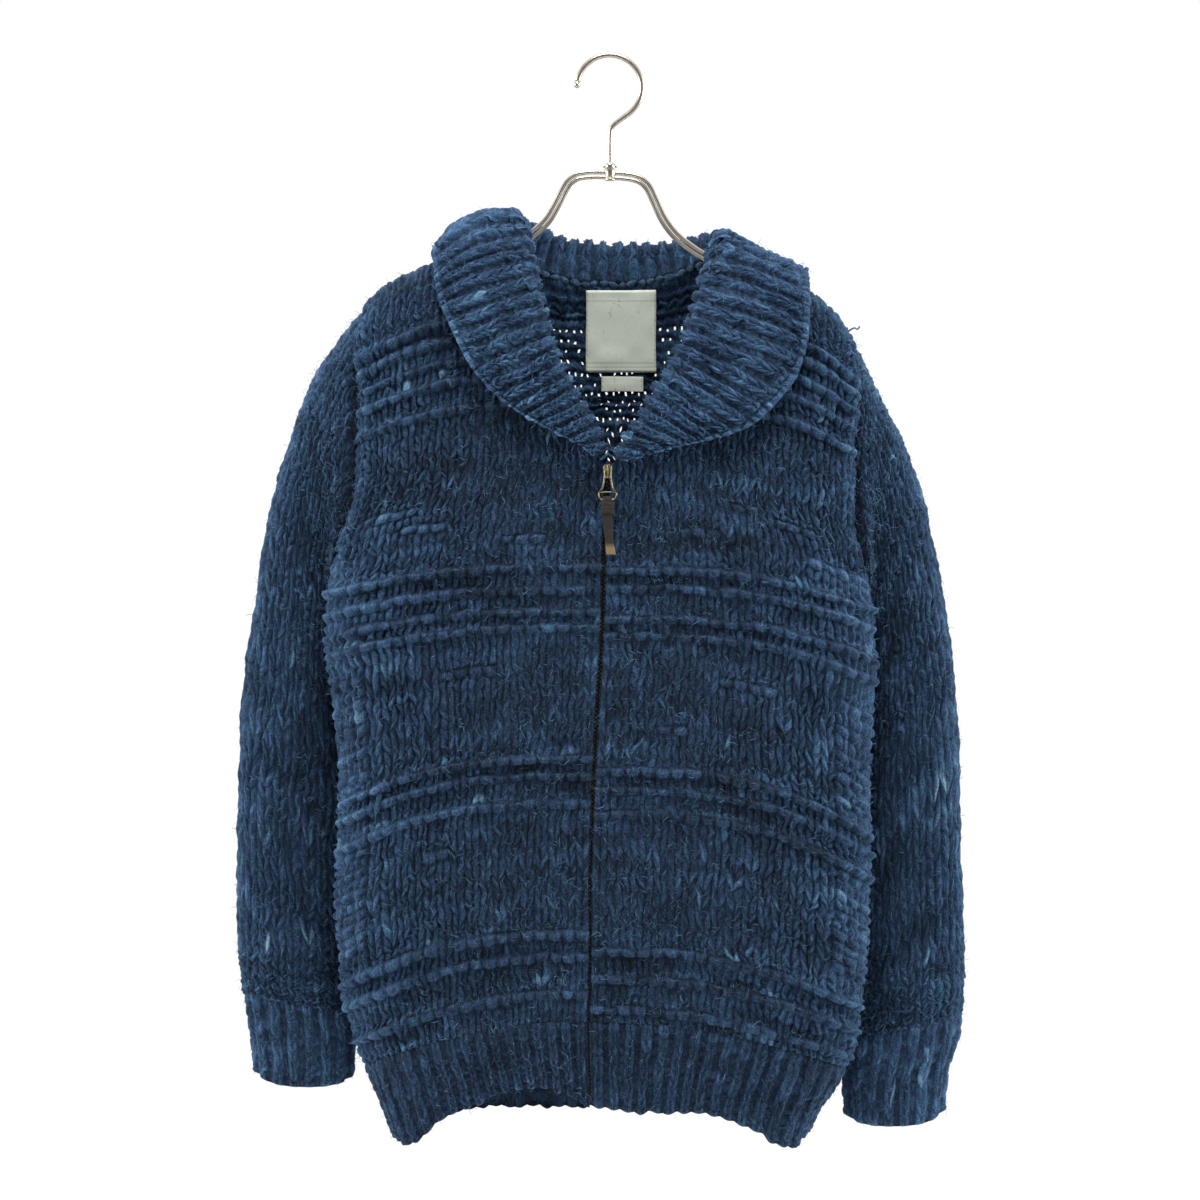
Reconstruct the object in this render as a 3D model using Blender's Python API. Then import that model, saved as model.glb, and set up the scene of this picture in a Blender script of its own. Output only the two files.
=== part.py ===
"""A chunky hand-knit zip cardigan with a folded shawl collar, hanging on a wire hanger.

Every length below is in millimetres and is scaled to metres where a mesh is made.
+X is to the right of someone who faces the front, the front faces -Y, and +Z is up.
"down" is the distance below the origin, which is the inside top of the hanger's hook.
"""
import math

import bmesh
import bpy
import numpy as np

for left_over in list(bpy.data.objects):
    bpy.data.objects.remove(left_over, do_unlink=True)

MM = 0.001
SEAM = 0.3              # gap between two pieces at a seam

# ---------------------------------------------------------------- driving dimensions
KNIT = 6.0              # wall of the chunky knit
RIDGE = 2.4             # how far a purl ridge or a rib stands proud of the wall
RIDGE_HALF = 6.2        # half the height of one purl ridge

NECK_POINT = 161.0      # down to where shoulder seam and neckline meet
BACK_NECK = 190.0       # down to the back neckline at its middle
BACK_YOKE = 287.0       # down to the lowest row of the back that follows the neckline
BACK_FOLD_ROWS = 10.0   # rows of the back's middle in which its shoulders fold over
V_POINT = 344.0         # down to the bottom of the V, where the zip starts
UNDERARM_LEFT = 419.0
UNDERARM_RIGHT = 431.0
SHOULDER_TIP_LEFT = 206.0
SHOULDER_TIP_RIGHT = 231.0
RIB_TOP = 806.0         # down to the top of the hem rib, at the zip
HEM = 877.0             # down to the bottom of the hem, at the zip

SIDE_FOLD = 42.0        # width of the rounded fold at each side of the body
SHOULDER_FOLD = 18.0    # depth of the rounded fold over each shoulder
SIDE_SEAM_DEPTH = -8.0  # Y of the side seams
ARMHOLE_HALF_DEPTH = 23.0
ARMHOLE_GAP = 1.5
SLEEVE_ROOM = 5.5       # between the body's side fold and the sleeve, over the ridges
HEM_SEAM = 1.4          # between a panel's last row and its rib, which curve differently

ZIP_GAP = 4.6           # between the two fronts
CHAIN_WIDTH = 3.8
CHAIN_THICK = 2.6
TAPE_WIDTH = 13.0
TAPE_THICK = 1.0
TAPE_ROOM = 1.0         # from the fronts' inner surface to the tapes
TAPE_SHORT = 6.0        # from the tapes' end to the hem
ZIP_POINTS = 20         # down the tapes and the chain

# ---------------------------------------------------------------- tables of the cut
# Edge of the body in the front view: down, x.
SIDE_LEFT = (
    (206, -203), (238, -210), (265, -208), (286, -205), (304, -206), (354, -208),
    (385, -214), (413, -224), (455, -232), (497, -234), (539, -230), (606, -224),
    (665, -226), (707, -227), (732, -225), (791, -221), (808, -215), (832, -208),
    (867, -193), (905, -177), (913, -173),
)
SIDE_RIGHT = (
    (231, 203), (265, 208), (294, 207), (324, 203), (391, 203), (428, 212),
    (455, 218), (514, 223), (556, 220), (615, 218), (648, 219), (732, 217),
    (774, 213), (816, 208), (842, 201), (858, 193), (879, 178), (899, 168), (917, 161),
)
# Shoulder fold: share of the way from neck point to tip, share of the drop between them.
SHOULDER_LEFT = ((0, 0), (0.3, 0.09), (0.52, 0.24), (0.76, 0.55), (0.9, 0.78), (1, 1))
SHOULDER_RIGHT = ((0, 0), (0.15, 0.09), (0.31, 0.20), (0.54, 0.36), (0.7, 0.5), (0.85, 0.7), (1, 1))
# Middle of the zip: down, x.
ZIP_LINE = (
    (300, 0), (344, -0.4), (422, -3.4), (489, -5.4), (535, -8.2), (615, -12.2),
    (690, -14.6), (758, -15), (812, -16.4), (877, -14.5), (920, -14),
)
# Neckline of each front: down, x.
NECK_LEFT = ((161, -90), (186, -82), (220, -71), (258, -55), (291, -37), (321, -19), (344, -2.7))
NECK_RIGHT = ((161, 98), (186, 94), (228, 81), (277, 61), (307, 41), (327, 21), (344, 1.9))
# How far a knitted row droops between the zip and the side: down at the zip, left, right.
DROOP = (
    (344, 26, 34), (427, 24, 36), (485, 26, 40), (586, 42, 58), (660, 44, 56),
    (746, 46, 50), (806, 38, 40),
)
# Bottom edge of the hem: share of the way from zip or back middle to side, down.
HEM_LEFT = (
    (0, 877), (0.14, 865), (0.28, 861), (0.43, 864), (0.6, 876), (0.76, 886), (0.87, 903),
    (0.95, 911), (1, 905),
)
HEM_RIGHT = (
    (0, 875), (0.08, 878), (0.21, 882), (0.44, 881), (0.6, 887), (0.72, 894), (0.84, 907),
    (0.92, 912), (1, 901),
)
HEM_BACK = ((0, 885), (0.3, 884), (0.55, 884), (0.72, 888), (0.86, 900), (0.95, 908), (1, 905))
# Y of the outer surface of front and back: down, front, back.
DEPTH = (
    (161, -17, 16), (173, -20, 19), (200, -28, 25), (235, -34, 29), (290, -40, 32),
    (344, -43, 33), (450, -45, 34), (620, -46, 34), (790, -45, 33), (850, -43, 31), (920, -42, 30),
)
# Purl ridges: down at the zip (or at the neck edge), for left front, right front and back.
RIDGES_LEFT = (219, 234, 251, 268, 291, 428, 446, 465, 478, 587, 601, 624, 733, 751, 782)
RIDGES_RIGHT = (219, 234, 251, 268, 291, 431, 445, 471, 485, 597, 613, 633, 747, 769, 795)
RIDGES_BACK = (222, 240, 258, 275, 296, 430, 446, 467, 481, 590, 606, 628, 740, 760, 788)

# Columns and rows of the panels' points: shares of the width, shares of the fold over the
# shoulder or neckline, rows of the plain inside.
FRONT_COLUMNS = [0, 0.2, 0.42, 0.62, 0.78, 0.87, 0.94, 0.98, 1.0]
NECKLINE_COLUMNS = [0.0, 0.14, 0.27, 0.39]
BACK_COLUMNS = [0.6, 0.74, 0.85, 0.93, 0.98, 1.0]
SHOULDER_ROWS = [0.0, 0.04, 0.2, 0.5]
FRONT_INSIDE = [200, 225, 250, 275, 300, 322, 344, 385, 430, 475, 520, 565, 610, 655, 700, 755]
BACK_INSIDE = [215, 250, 287, 344, 430, 520, 610, 700]
HEM_ROWS = (0, 0.2, 0.6, 1)
ROW_SPACING = 30.0      # most between two rows of a panel's outside
CLOSEST_ROWS = 2.5
SEAM_FADE = 0.03        # share of a panel's width in which its ridges flatten
RIB_START = 8.0         # rows in which a hem rib rises from its seam
LEAST_RIB = 0.25
HEM_RIBS_LEFT = 13
HEM_RIBS_RIGHT = 14
HEM_RIBS_BACK = 27

# Rings of each sleeve, shoulder to wrist: x and down of the outer edge, x and down of the
# inner edge, Y of the outer edge, Y of the inner edge, half depth, squareness.
SLEEVE_LEFT = (
    (-203, 206, -225, 424, 0, -8, 28, 3.0),
    (-221, 231, -231, 437, 0, 0, 27, 2.9),
    (-248, 272, -226, 455, 1, 10, 26, 2.8),
    (-267, 318, -219, 481, 2, 20, 25, 2.7),
    (-286, 391, -213, 520, 3, 26, 24, 2.6),
    (-299, 476, -208, 575, 4, 30, 23, 2.5),
    (-309, 569, -205, 650, 5, 32, 22, 2.5),
    (-312, 665, -206, 728, 5, 32, 21, 2.5),
    (-311, 752, -209, 779, 6, 29, 20, 2.5),
    (-306, 787, -211, 804, 7, 25, 19, 2.4),
)
SLEEVE_RIGHT = (
    (203, 231, 214, 436, 0, -8, 28, 3.0),
    (216, 265, 219, 449, 0, 0, 27, 2.9),
    (231, 294, 215, 466, 1, 10, 26, 2.8),
    (249, 330, 210, 490, 2, 20, 25, 2.7),
    (269, 388, 204, 532, 3, 27, 24, 2.6),
    (284, 464, 200, 583, 4, 31, 23, 2.5),
    (293, 548, 197, 657, 5, 33, 22, 2.5),
    (297, 648, 197, 737, 5, 32, 21, 2.5),
    (298, 749, 199, 803, 6, 30, 20, 2.5),
    (297, 806, 200, 826, 7, 26, 19, 2.4),
)
CUFF_LEFT = (
    (-305, 788, -213, 806, 7, 25, 18, 2.4),
    (-300, 808, -214, 818, 7, 23, 18, 2.4),
    (-297, 832, -215, 837, 8, 21, 18, 2.4),
    (-295, 853, -217, 855, 8, 20, 17, 2.4),
)
CUFF_RIGHT = (
    (297, 808, 202, 828, 7, 26, 18, 2.4),
    (292, 827, 201, 841, 7, 24, 18, 2.4),
    (284, 851, 200, 861, 8, 22, 18, 2.4),
    (281, 886, 202, 888, 8, 21, 17, 2.4),
)
CUFF_SAG = 10.5         # how much lower a cuff's front edge hangs than its sides
CUFF_RIBS = 15
SLEEVE_RINGS = 14
SLEEVE_POINTS = 24      # round each ring
SOFT_PUSH = 4.0         # how softly a sleeve bends away from the body's side
ARMHOLE_RINGS = 5       # rings over which a sleeve leaves the armhole

# Collar from the V point to the middle of the back: station, then x, y, down of the fold,
# x, y, down of the outer edge, turn of the outward side from front (0) over the shoulder
# (90) to back (180), and how far the fall bulges.
COLLAR_LEFT = (
    (0.00, -3, -49, 341, -6, -53, 343, 0, 0),
    (0.10, -7, -48, 326, -21, -53, 328, 0, 1),
    (0.20, -15, -46, 307, -40, -52, 318, 0, 2),
    (0.30, -26, -45, 286, -64, -52, 306, 0, 3),
    (0.40, -39, -43, 262, -88, -51, 290, 0, 4),
    (0.50, -50, -40, 235, -113, -49, 263, 5, 5),
    (0.60, -57, -34, 206, -131, -43, 229, 15, 6),
    (0.68, -64, -25, 176, -143, -34, 200, 35, 7),
    (0.76, -71, -10, 148, -146, -17, 181, 60, 11),
    (0.80, -77, -2, 137, -147, 2, 168, 82, 13),
    (0.84, -78, 6, 135, -144, 24, 173, 100, 12),
    (0.90, -61, 20, 144, -130, 37, 207, 140, 6),
    (0.95, -36, 27, 152, -87, 42, 235, 165, 5),
    (1.00, 2, 29, 158, 0, 43, 245, 180, 4),
)
COLLAR_RIGHT = (
    (0.00, 3, -51, 342, 5, -55, 343, 0, 0),
    (0.10, 10, -51, 331, 27, -56, 335, 0, 1),
    (0.20, 21, -50, 314, 55, -54, 328, 0, 2),
    (0.30, 34, -45, 291, 84, -52, 323, 0, 3),
    (0.40, 47, -43, 270, 115, -51, 313, 0, 4),
    (0.50, 58, -41, 249, 140, -49, 292, 5, 5),
    (0.60, 67, -37, 226, 160, -45, 263, 10, 6),
    (0.68, 76, -31, 203, 167, -38, 233, 20, 6),
    (0.76, 84, -20, 178, 168, -27, 206, 45, 3),
    (0.80, 89, -10, 161, 167, -11, 198, 68, 1),
    (0.84, 93, 1, 151, 165, 4, 192, 85, 0),
    (0.88, 92, 11, 150, 159, 24, 197, 110, 2),
    (0.94, 72, 22, 153, 123, 38, 222, 150, 6),
    (0.97, 42, 27, 157, 69, 42, 239, 168, 5),
    (1.00, 2, 29, 158, 0, 43, 245, 180, 4),
)
# Row of each front's neckline that a station is sewn to, up to the neck point.
COLLAR_ROW_LEFT = (
    (0, 343), (0.1, 328), (0.2, 310), (0.3, 289), (0.4, 266), (0.5, 240), (0.6, 213),
    (0.68, 188), (0.76, 168), (0.8, 161),
)
COLLAR_ROW_RIGHT = (
    (0, 343), (0.1, 332), (0.2, 316), (0.3, 294), (0.4, 274), (0.5, 254), (0.6, 232),
    (0.68, 208), (0.76, 178), (0.8, 161),
)
COLLAR_RIBS = 26        # on each side of the back's middle
COLLAR_ROLL = 6.0       # radius of the fold's middle line
COLLAR_ROOM = 8.0       # from the body to the middle of the collar's wall
COLLAR_START = 0.045    # station where the collar's end meets the V point
NECK_POINT_STATION = 0.8
NECK_POINT_REACH = 0.1  # stations in which the seam turns from the front's edge to the back's
NECK_SEAM = 1.3         # between the neckline and the collar
FOLD_STARTS = 0.3       # share of the points from the seam to where the fold turns
FOLD_ENDS = 0.5
COLLAR_POINTS = (11, 7) # across the side that shows and across the other

# Woven labels inside the back neck: middle x, top down, width, height.
NECK_LABEL = (11, 194, 59, 69)
SIZE_LABEL = (12, 266.5, 35, 12.5)
LABEL_THICK = 0.8
LABEL_ROOM = 0.9

# Wire hanger. Its frame is two rods, one above the other, through a joint under the hook.
# Middle of the frame on each side: reach from the joint, down.
HANGER_LEFT = (
    (0, 98.3), (11, 97.8), (25, 99), (34, 104), (38, 110), (45, 124), (53, 137), (67, 150),
    (76, 160), (86, 171), (97, 177),
)
HANGER_RIGHT = (
    (0, 98.3), (17, 100), (25, 102.5), (31.5, 108), (36.5, 118), (45, 136), (56, 150),
    (70, 161), (84, 169.5), (96, 176.5),
)
HANGER_REACH = 175.0    # from the joint to each end
HANGER_SEAT = (148, 157, 166, 175)      # where the arms lie up against the shoulder seams
SEAT_ROOM = 1.0         # between the arms and the inside of the shoulders
ROD = 1.9               # radius
ROD_APART = 4.2         # between the middles of the two rods
WIRE = 2.5              # radius of the hook's bend
HOOK_MIDDLE = (1.2, 24.8)       # x and down of the bend's centre
HOOK_RADIUS = 27.3
HOOK_ARC = (173, -55)   # degrees round the bend, from its ball end
HOOK_SHANK = ((10.5, 51.8), (5.0, 55.9), (2.6, 59.2), (1.8, 64), (1.7, 72), (1.7, 88.2))
HOOK_BALL = 1.3         # radius of the ball end, in wire radii
SHANK = 0.78            # radius of the shank, in wire radii
JOINT_X = 1.7
JOINT_TOP = 88.5
JOINT_BOTTOM = 103.6
JOINT_RADIUS = 4.9

# Zip slider and its pull, at the V point.
SLIDER_TOP = 343.0
SLIDER_BOTTOM = 354.0
SLIDER_WIDTH = 8.4
SLIDER_FRONT = -49.0    # Y of its front face
PLATE = 1.6
WEDGE_HALF = 1.9
WEDGE_SHORT = 1.0       # from the wedge's top to the front plate's
BRIDGE_HALF = 1.3
BRIDGE_OUTSIDE = (2.3, 3.4)     # half depth and half height
BRIDGE_HOLE = (1.15, 1.5)
BRIDGE_BACK = 0.3       # from the hole's middle to the bridge's
PULL_WIRE = 0.8         # radius
PULL_PIVOT = (-50.9, 347.5)     # Y and down of the ring's top in the slider's bridge
RING_TOP_HALF = 1.9
RING_NECK = (3.6, 5.0)  # half width, and how far below the ring's top
RING_HALF = 7.0
RING_BOTTOM = 372.0
PULL_BAR = 0.6          # radius
PULL_BAR_DOWN = 365.0
TAB_HALF = 3.8          # half width of the leather tab
TAB_LOOP = (2.3, 3.4)   # half depth and half height of its loop round the ring
TAB_HOLE = (1.15, 1.9)
TAB_RAISED = (1.0, 0.6) # how far above the ring's bottom the loop's and hole's middles are
TAB_THICK = 2.0
TAB_TIP = 417.5


# ---------------------------------------------------------------- reading the tables
def read(table, at, column=1):
    """Smooth value of one column of a table whose first column rises."""
    keys = [row[0] for row in table]
    values = [row[column] for row in table]
    at = min(max(at, keys[0]), keys[-1])
    last = len(keys) - 1
    i = min(max(int(np.searchsorted(keys, at, side="right")) - 1, 0), last - 1)
    span = keys[i + 1] - keys[i]
    t = (at - keys[i]) / span

    def slope(j):
        if j in (0, last):
            k = min(j, last - 1)
            return (values[k + 1] - values[k]) / (keys[k + 1] - keys[k])
        before = (values[j] - values[j - 1]) / (keys[j] - keys[j - 1])
        after = (values[j + 1] - values[j]) / (keys[j + 1] - keys[j])
        return 0.0 if before * after <= 0 else 2 * before * after / (before + after)

    return (
        values[i] * (1 + 2 * t) * (1 - t) ** 2
        + slope(i) * span * t * (1 - t) ** 2
        + values[i + 1] * t * t * (3 - 2 * t)
        + slope(i + 1) * span * t * t * (t - 1)
    )


def rounded(share):
    """Height of a quarter circle over share 0..1, and 1 beyond it."""
    share = min(max(share, 0.0), 1.0)
    return math.sqrt(1 - (1 - share) ** 2)


def mix(a, b, share):
    return a + (b - a) * share


# ---------------------------------------------------------------- the body's surface
# side is -1 for the wearer's right half, which the front view shows on the left, and 1.
def side_edge(side, down):
    return read(SIDE_LEFT if side < 0 else SIDE_RIGHT, down)


def shoulder_tip(side):
    return SHOULDER_TIP_LEFT if side < 0 else SHOULDER_TIP_RIGHT


def underarm(side):
    return UNDERARM_LEFT if side < 0 else UNDERARM_RIGHT


def shoulder_line(side, share):
    """Down to the shoulder fold, from the neck point (0) to the tip (1)."""
    drop = read(SHOULDER_LEFT if side < 0 else SHOULDER_RIGHT, share)
    return mix(NECK_POINT, shoulder_tip(side), drop)


def armhole_depth(side, down, facing):
    """Y of the armhole's edge on the front (facing -1) or the back (facing 1)."""
    tip = shoulder_tip(side)
    pit = underarm(side)
    if down >= pit:
        return SIDE_SEAM_DEPTH
    share = (pit - down) / (pit - tip)
    bow = (1 - abs(2 * min(share, 1) - 1) ** 3) ** (1 / 3)
    return mix(SIDE_SEAM_DEPTH, 0, share) + facing * ARMHOLE_HALF_DEPTH * bow


def front_row(side, u, row):
    """Down to a point of a front, u from the zip or neckline (0) to the side (1)."""
    droop_column = 1 if side < 0 else 2
    if row < V_POINT:
        share = (V_POINT - row) / (V_POINT - NECK_POINT)
        return mix(V_POINT + read(DROOP, V_POINT, droop_column) * u * u, shoulder_line(side, u), share)
    if row <= RIB_TOP:
        return row + read(DROOP, row, droop_column) * u * u
    top = RIB_TOP + read(DROOP, RIB_TOP, droop_column) * u * u
    bottom = read(HEM_LEFT if side < 0 else HEM_RIGHT, u)
    return mix(top, bottom, (row - RIB_TOP) / (HEM - RIB_TOP))


def front_inner_edge(side, row):
    if row < V_POINT:
        return read(NECK_LEFT if side < 0 else NECK_RIGHT, row)
    return read(ZIP_LINE, row) + side * ZIP_GAP / 2


def front_point(side, u, row):
    """Outer surface of a front, without its ridges."""
    down = front_row(side, u, row)
    edge = side_edge(side, front_row(side, 1, row))
    x = mix(front_inner_edge(side, row), edge, u)
    fold_y = armhole_depth(side, front_row(side, 1, row), -1) - SEAM / 2
    y = mix(fold_y, read(DEPTH, down, 1), rounded(abs(edge - x) / SIDE_FOLD))
    over = down - front_row(side, u, NECK_POINT)
    y = mix(-SEAM / 2, y, rounded(over / SHOULDER_FOLD))
    return np.array((x, y, -down))


def neck_share(side):
    """Share of the back's half width, at its top, that the neckline takes."""
    neck = NECK_LEFT if side < 0 else NECK_RIGHT
    return neck[0][1] / side_edge(side, shoulder_tip(side))


def back_top(side, u):
    share = neck_share(side)
    if u >= share:
        return shoulder_line(side, (u - share) / (1 - share))
    return mix(BACK_NECK, NECK_POINT, (u / share) ** 2.4)


def back_row(side, u, row):
    """Down to a point of the back, u from its middle (0) to the side (1)."""
    droop_column = 1 if side < 0 else 2
    if row < BACK_YOKE:
        share = (BACK_YOKE - row) / (BACK_YOKE - BACK_NECK)
        return mix(BACK_YOKE + read(DROOP, V_POINT, droop_column) * u * u, back_top(side, u), share)
    if row <= RIB_TOP:
        return row + read(DROOP, row, droop_column) * u * u
    top = RIB_TOP + read(DROOP, RIB_TOP, droop_column) * u * u
    return mix(top, read(HEM_BACK, u), (row - RIB_TOP) / (HEM - RIB_TOP))


def back_middle(row):
    return mix(0, read(ZIP_LINE, row), min(max((row - BACK_YOKE) / 300, 0), 1))


def back_point(across, row):
    """Outer surface of the back, across from -1 to 1."""
    side = -1 if across < 0 else 1
    u = abs(across)
    down = back_row(side, u, row)
    edge = side_edge(side, back_row(side, 1, row))
    x = mix(back_middle(row), edge, u)
    fold_y = armhole_depth(side, back_row(side, 1, row), 1) + SEAM / 2
    y = mix(fold_y, read(DEPTH, down, 2), rounded(abs(edge - x) / SIDE_FOLD))
    share = neck_share(side)
    neck_y = read(DEPTH, BACK_NECK, 2) * math.sqrt(max(1 - (u / share) ** 2, 0))
    over = down - back_row(side, u, BACK_NECK)
    y = mix(neck_y + SEAM / 2, y, rounded(over / SHOULDER_FOLD)) if neck_y < y else y
    return np.array((x, y, -down))


# ---------------------------------------------------------------- walls and meshes
def outward(point_at, a, b, facing):
    """Unit normal of a surface at (a, b), on the side that has the sign of facing in Y."""
    step = 0.002
    along = point_at(min(a + step, point_at.most), b) - point_at(max(a - step, point_at.least), b)
    down = point_at(a, b + 0.5) - point_at(a, b - 0.5)
    normal = np.cross(along, down)
    normal /= max(np.linalg.norm(normal), 1e-9)
    return normal if normal[1] * facing > 0 else -normal


def bump(distance, half):
    """Profile of one ridge: 1 on its crest, 0 beyond its half height."""
    return 0.5 + 0.5 * math.cos(math.pi * min(abs(distance) / half, 1))


def make_object(name, vertices, faces, material):
    mesh = bpy.data.meshes.new(name)
    mesh.from_pydata([tuple(float(c) * MM for c in v) for v in vertices], [], faces)
    mesh.materials.append(material)
    shape = bmesh.new()
    shape.from_mesh(mesh)
    bmesh.ops.recalc_face_normals(shape, faces=shape.faces)
    shape.to_mesh(mesh)
    shape.free()
    mesh.shade_smooth()
    mesh.set_sharp_from_angle(angle=math.radians(60))
    made = bpy.data.objects.new(name, mesh)
    bpy.context.scene.collection.objects.link(made)
    return made


def strip(first, second):
    """Faces between two borders, each a list of (share, vertex) with shares 0 to 1."""
    faces = []
    i = j = 0
    while i < len(first) - 1 or j < len(second) - 1:
        step_first = j == len(second) - 1 or (
            i < len(first) - 1 and first[i + 1][0] <= second[j + 1][0] + 1e-9
        )
        if step_first:
            faces.append((first[i][1], first[i + 1][1], second[j][1]))
            i += 1
        else:
            faces.append((first[i][1], second[j + 1][1], second[j][1]))
            j += 1
    return faces


def wall(name, outer, inner, outer_at, inner_at, material, tube=False):
    """A closed wall from two grids of points, rows by columns.

    outer_at and inner_at are the shares of each grid's rows and columns, so that grids of
    different counts meet round the border. A tube's columns close on themselves.
    """
    vertices = []
    grids = []
    for grid in (outer, inner):
        rows = []
        for row in grid:
            rows.append(list(range(len(vertices), len(vertices) + len(row))))
            vertices.extend(row)
        if tube:
            rows = [row + row[:1] for row in rows]
        grids.append(rows)
    faces = []
    for rows in grids:
        for upper, lower in zip(rows, rows[1:]):
            for k in range(len(upper) - 1):
                faces.append((upper[k], upper[k + 1], lower[k + 1], lower[k]))
    for end in (0, -1):
        across = [list(zip(at[1], rows[end])) for at, rows in zip((outer_at, inner_at), grids)]
        faces += strip(*across)
        if not tube:
            along = [
                [(share, row[end]) for share, row in zip(at[0], rows)]
                for at, rows in zip((outer_at, inner_at), grids)
            ]
            faces += strip(*along)
    return make_object(name, vertices, faces, material)


def shares(values):
    low, high = values[0], values[-1]
    return [(value - low) / (high - low) for value in values]


def thinned(values, keep):
    """Every keep-th value, with the last."""
    return list(values[:-1:keep]) + [values[-1]]


def panel_rows(top, corner, bottom, ridges):
    """Rows of a panel: the crest and both feet of each ridge, and plain rows between."""
    rows = {top, corner, bottom}
    for ridge in ridges:
        for offset in (-RIDGE_HALF, 0, RIDGE_HALF):
            if top + 1 < ridge + offset < bottom - 1:
                rows.add(ridge + offset)
    rows = sorted(rows)
    kept = [rows[0]]
    for row in rows[1:]:
        if row - kept[-1] < CLOSEST_ROWS and row not in (corner, bottom):
            continue
        pieces = max(int(math.ceil((row - kept[-1]) / ROW_SPACING)), 1)
        start = kept[-1]
        kept += [mix(start, row, (k + 1) / pieces) for k in range(pieces)]
    return kept


def offset_point(point_at, facing, column, row, height):
    """A point of a surface moved out by height, and kept on its own side of the seams."""
    normal = outward(point_at, column, row, facing)
    if row > V_POINT:
        normal[2] = 0.0
        normal /= np.linalg.norm(normal)
    point = point_at(column, row) + height * normal
    side = -1 if column < 0 or point_at.side < 0 else 1
    seam_y = SIDE_SEAM_DEPTH if point_at.edge_down(column, row) > underarm(side) else 0.0
    limit = seam_y + facing * SEAM / 2
    point[1] = min(point[1], limit) if facing < 0 else max(point[1], limit)
    return point


def cloth(name, point_at, facing, rows, columns, raised, material, inner_rows, inner_columns):
    """A knitted wall on a surface, raised(column, row) mm proud outside and plain inside."""
    outer = [
        [offset_point(point_at, facing, column, row, raised(column, row)) for column in columns]
        for row in rows
    ]
    inner = [
        [offset_point(point_at, facing, column, row, -KNIT) for column in inner_columns]
        for row in inner_rows
    ]
    return wall(
        name, outer, inner, (shares(rows), shares(columns)),
        (shares(inner_rows), shares(inner_columns)), material,
    )


# ---------------------------------------------------------------- materials
def finish(name, colour, roughness, metallic=0.0):
    material = bpy.data.materials.new(name)
    material.use_nodes = True
    shader = material.node_tree.nodes["Principled BSDF"]
    shader.inputs["Base Color"].default_value = (*colour, 1)
    shader.inputs["Roughness"].default_value = roughness
    shader.inputs["Metallic"].default_value = metallic
    return material


INDIGO_WOOL = finish("indigo_wool", (0.018, 0.052, 0.125), 0.95)
INDIGO_RIB = finish("indigo_rib", (0.022, 0.064, 0.150), 0.95)
ZIP_TAPE = finish("zip_tape", (0.012, 0.022, 0.050), 0.85)
AGED_BRASS = finish("aged_brass", (0.46, 0.33, 0.14), 0.35, 1.0)
BROWN_LEATHER = finish("brown_leather", (0.075, 0.045, 0.030), 0.6)
LABEL_SATIN = finish("label_satin", (0.62, 0.66, 0.60), 0.5)
HANGER_STEEL = finish("hanger_steel", (0.55, 0.54, 0.50), 0.25, 1.0)


# ---------------------------------------------------------------- fronts, back and hem
class FrontSurface:
    """Outer surface of one front, across it from 0 at the zip to 1 at the side."""

    least = 0.0
    most = 1.0

    def __init__(self, side):
        self.side = side

    def __call__(self, across, row):
        return front_point(self.side, across, row)

    def edge_down(self, across, row):
        return front_row(self.side, 1, row)


class BackSurface:
    """Outer surface of the back, across it from -1 to 1."""

    least = -1.0
    most = 1.0
    side = 1

    def __call__(self, across, row):
        return back_point(across, row)

    def edge_down(self, across, row):
        return back_row(-1 if across < 0 else 1, 1, row)


BACK_SURFACE = BackSurface()


def ridge_lift(ridges):
    """Purl ridges along the rows, which flatten into the seam at each side."""
    def lift(column, row):
        near_seam = min((1 - abs(column)) / SEAM_FADE, 1)
        return RIDGE * near_seam * max(bump(row - ridge, RIDGE_HALF) for ridge in ridges)

    return lift


def inner_rows_of(rows, inside):
    """The rows round the fold at the top, then those of the plain inside."""
    return rows[:1] + rows[2:5] + inside + rows[-1:]


def front_rows(side):
    rows = [NECK_POINT + SHOULDER_FOLD * share for share in SHOULDER_ROWS]
    ridges = RIDGES_LEFT if side < 0 else RIDGES_RIGHT
    return rows + panel_rows(NECK_POINT + SHOULDER_FOLD, V_POINT, RIB_TOP - SEAM, ridges)


def back_columns():
    left = [-u for u in BACK_COLUMNS[::-1]] + [-neck_share(-1)]
    left += [-u for u in NECKLINE_COLUMNS[:0:-1]]
    return left + NECKLINE_COLUMNS + [neck_share(1)] + BACK_COLUMNS


def make_front(side, name, ridges):
    rows = front_rows(side)
    return cloth(
        name, FrontSurface(side), -1, rows, FRONT_COLUMNS, ridge_lift(ridges), INDIGO_WOOL,
        inner_rows=inner_rows_of(rows, FRONT_INSIDE), inner_columns=FRONT_COLUMNS,
    )


def make_back():
    columns = back_columns()
    rows = [BACK_NECK + BACK_FOLD_ROWS * share for share in SHOULDER_ROWS]
    rows += panel_rows(BACK_NECK + BACK_FOLD_ROWS, BACK_YOKE, RIB_TOP - SEAM, RIDGES_BACK)
    return cloth(
        "back_panel", BACK_SURFACE, 1, rows, columns, ridge_lift(RIDGES_BACK), INDIGO_WOOL,
        inner_rows=inner_rows_of(rows, BACK_INSIDE), inner_columns=columns,
    )


make_front(-1, "front_left", RIDGES_LEFT)
make_front(1, "front_right", RIDGES_RIGHT)
make_back()


def rib_columns(low, high, ribs):
    """Columns on the crest and in the furrow of each rib."""
    return [mix(low, high, k / (2 * ribs)) for k in range(2 * ribs + 1)]


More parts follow.
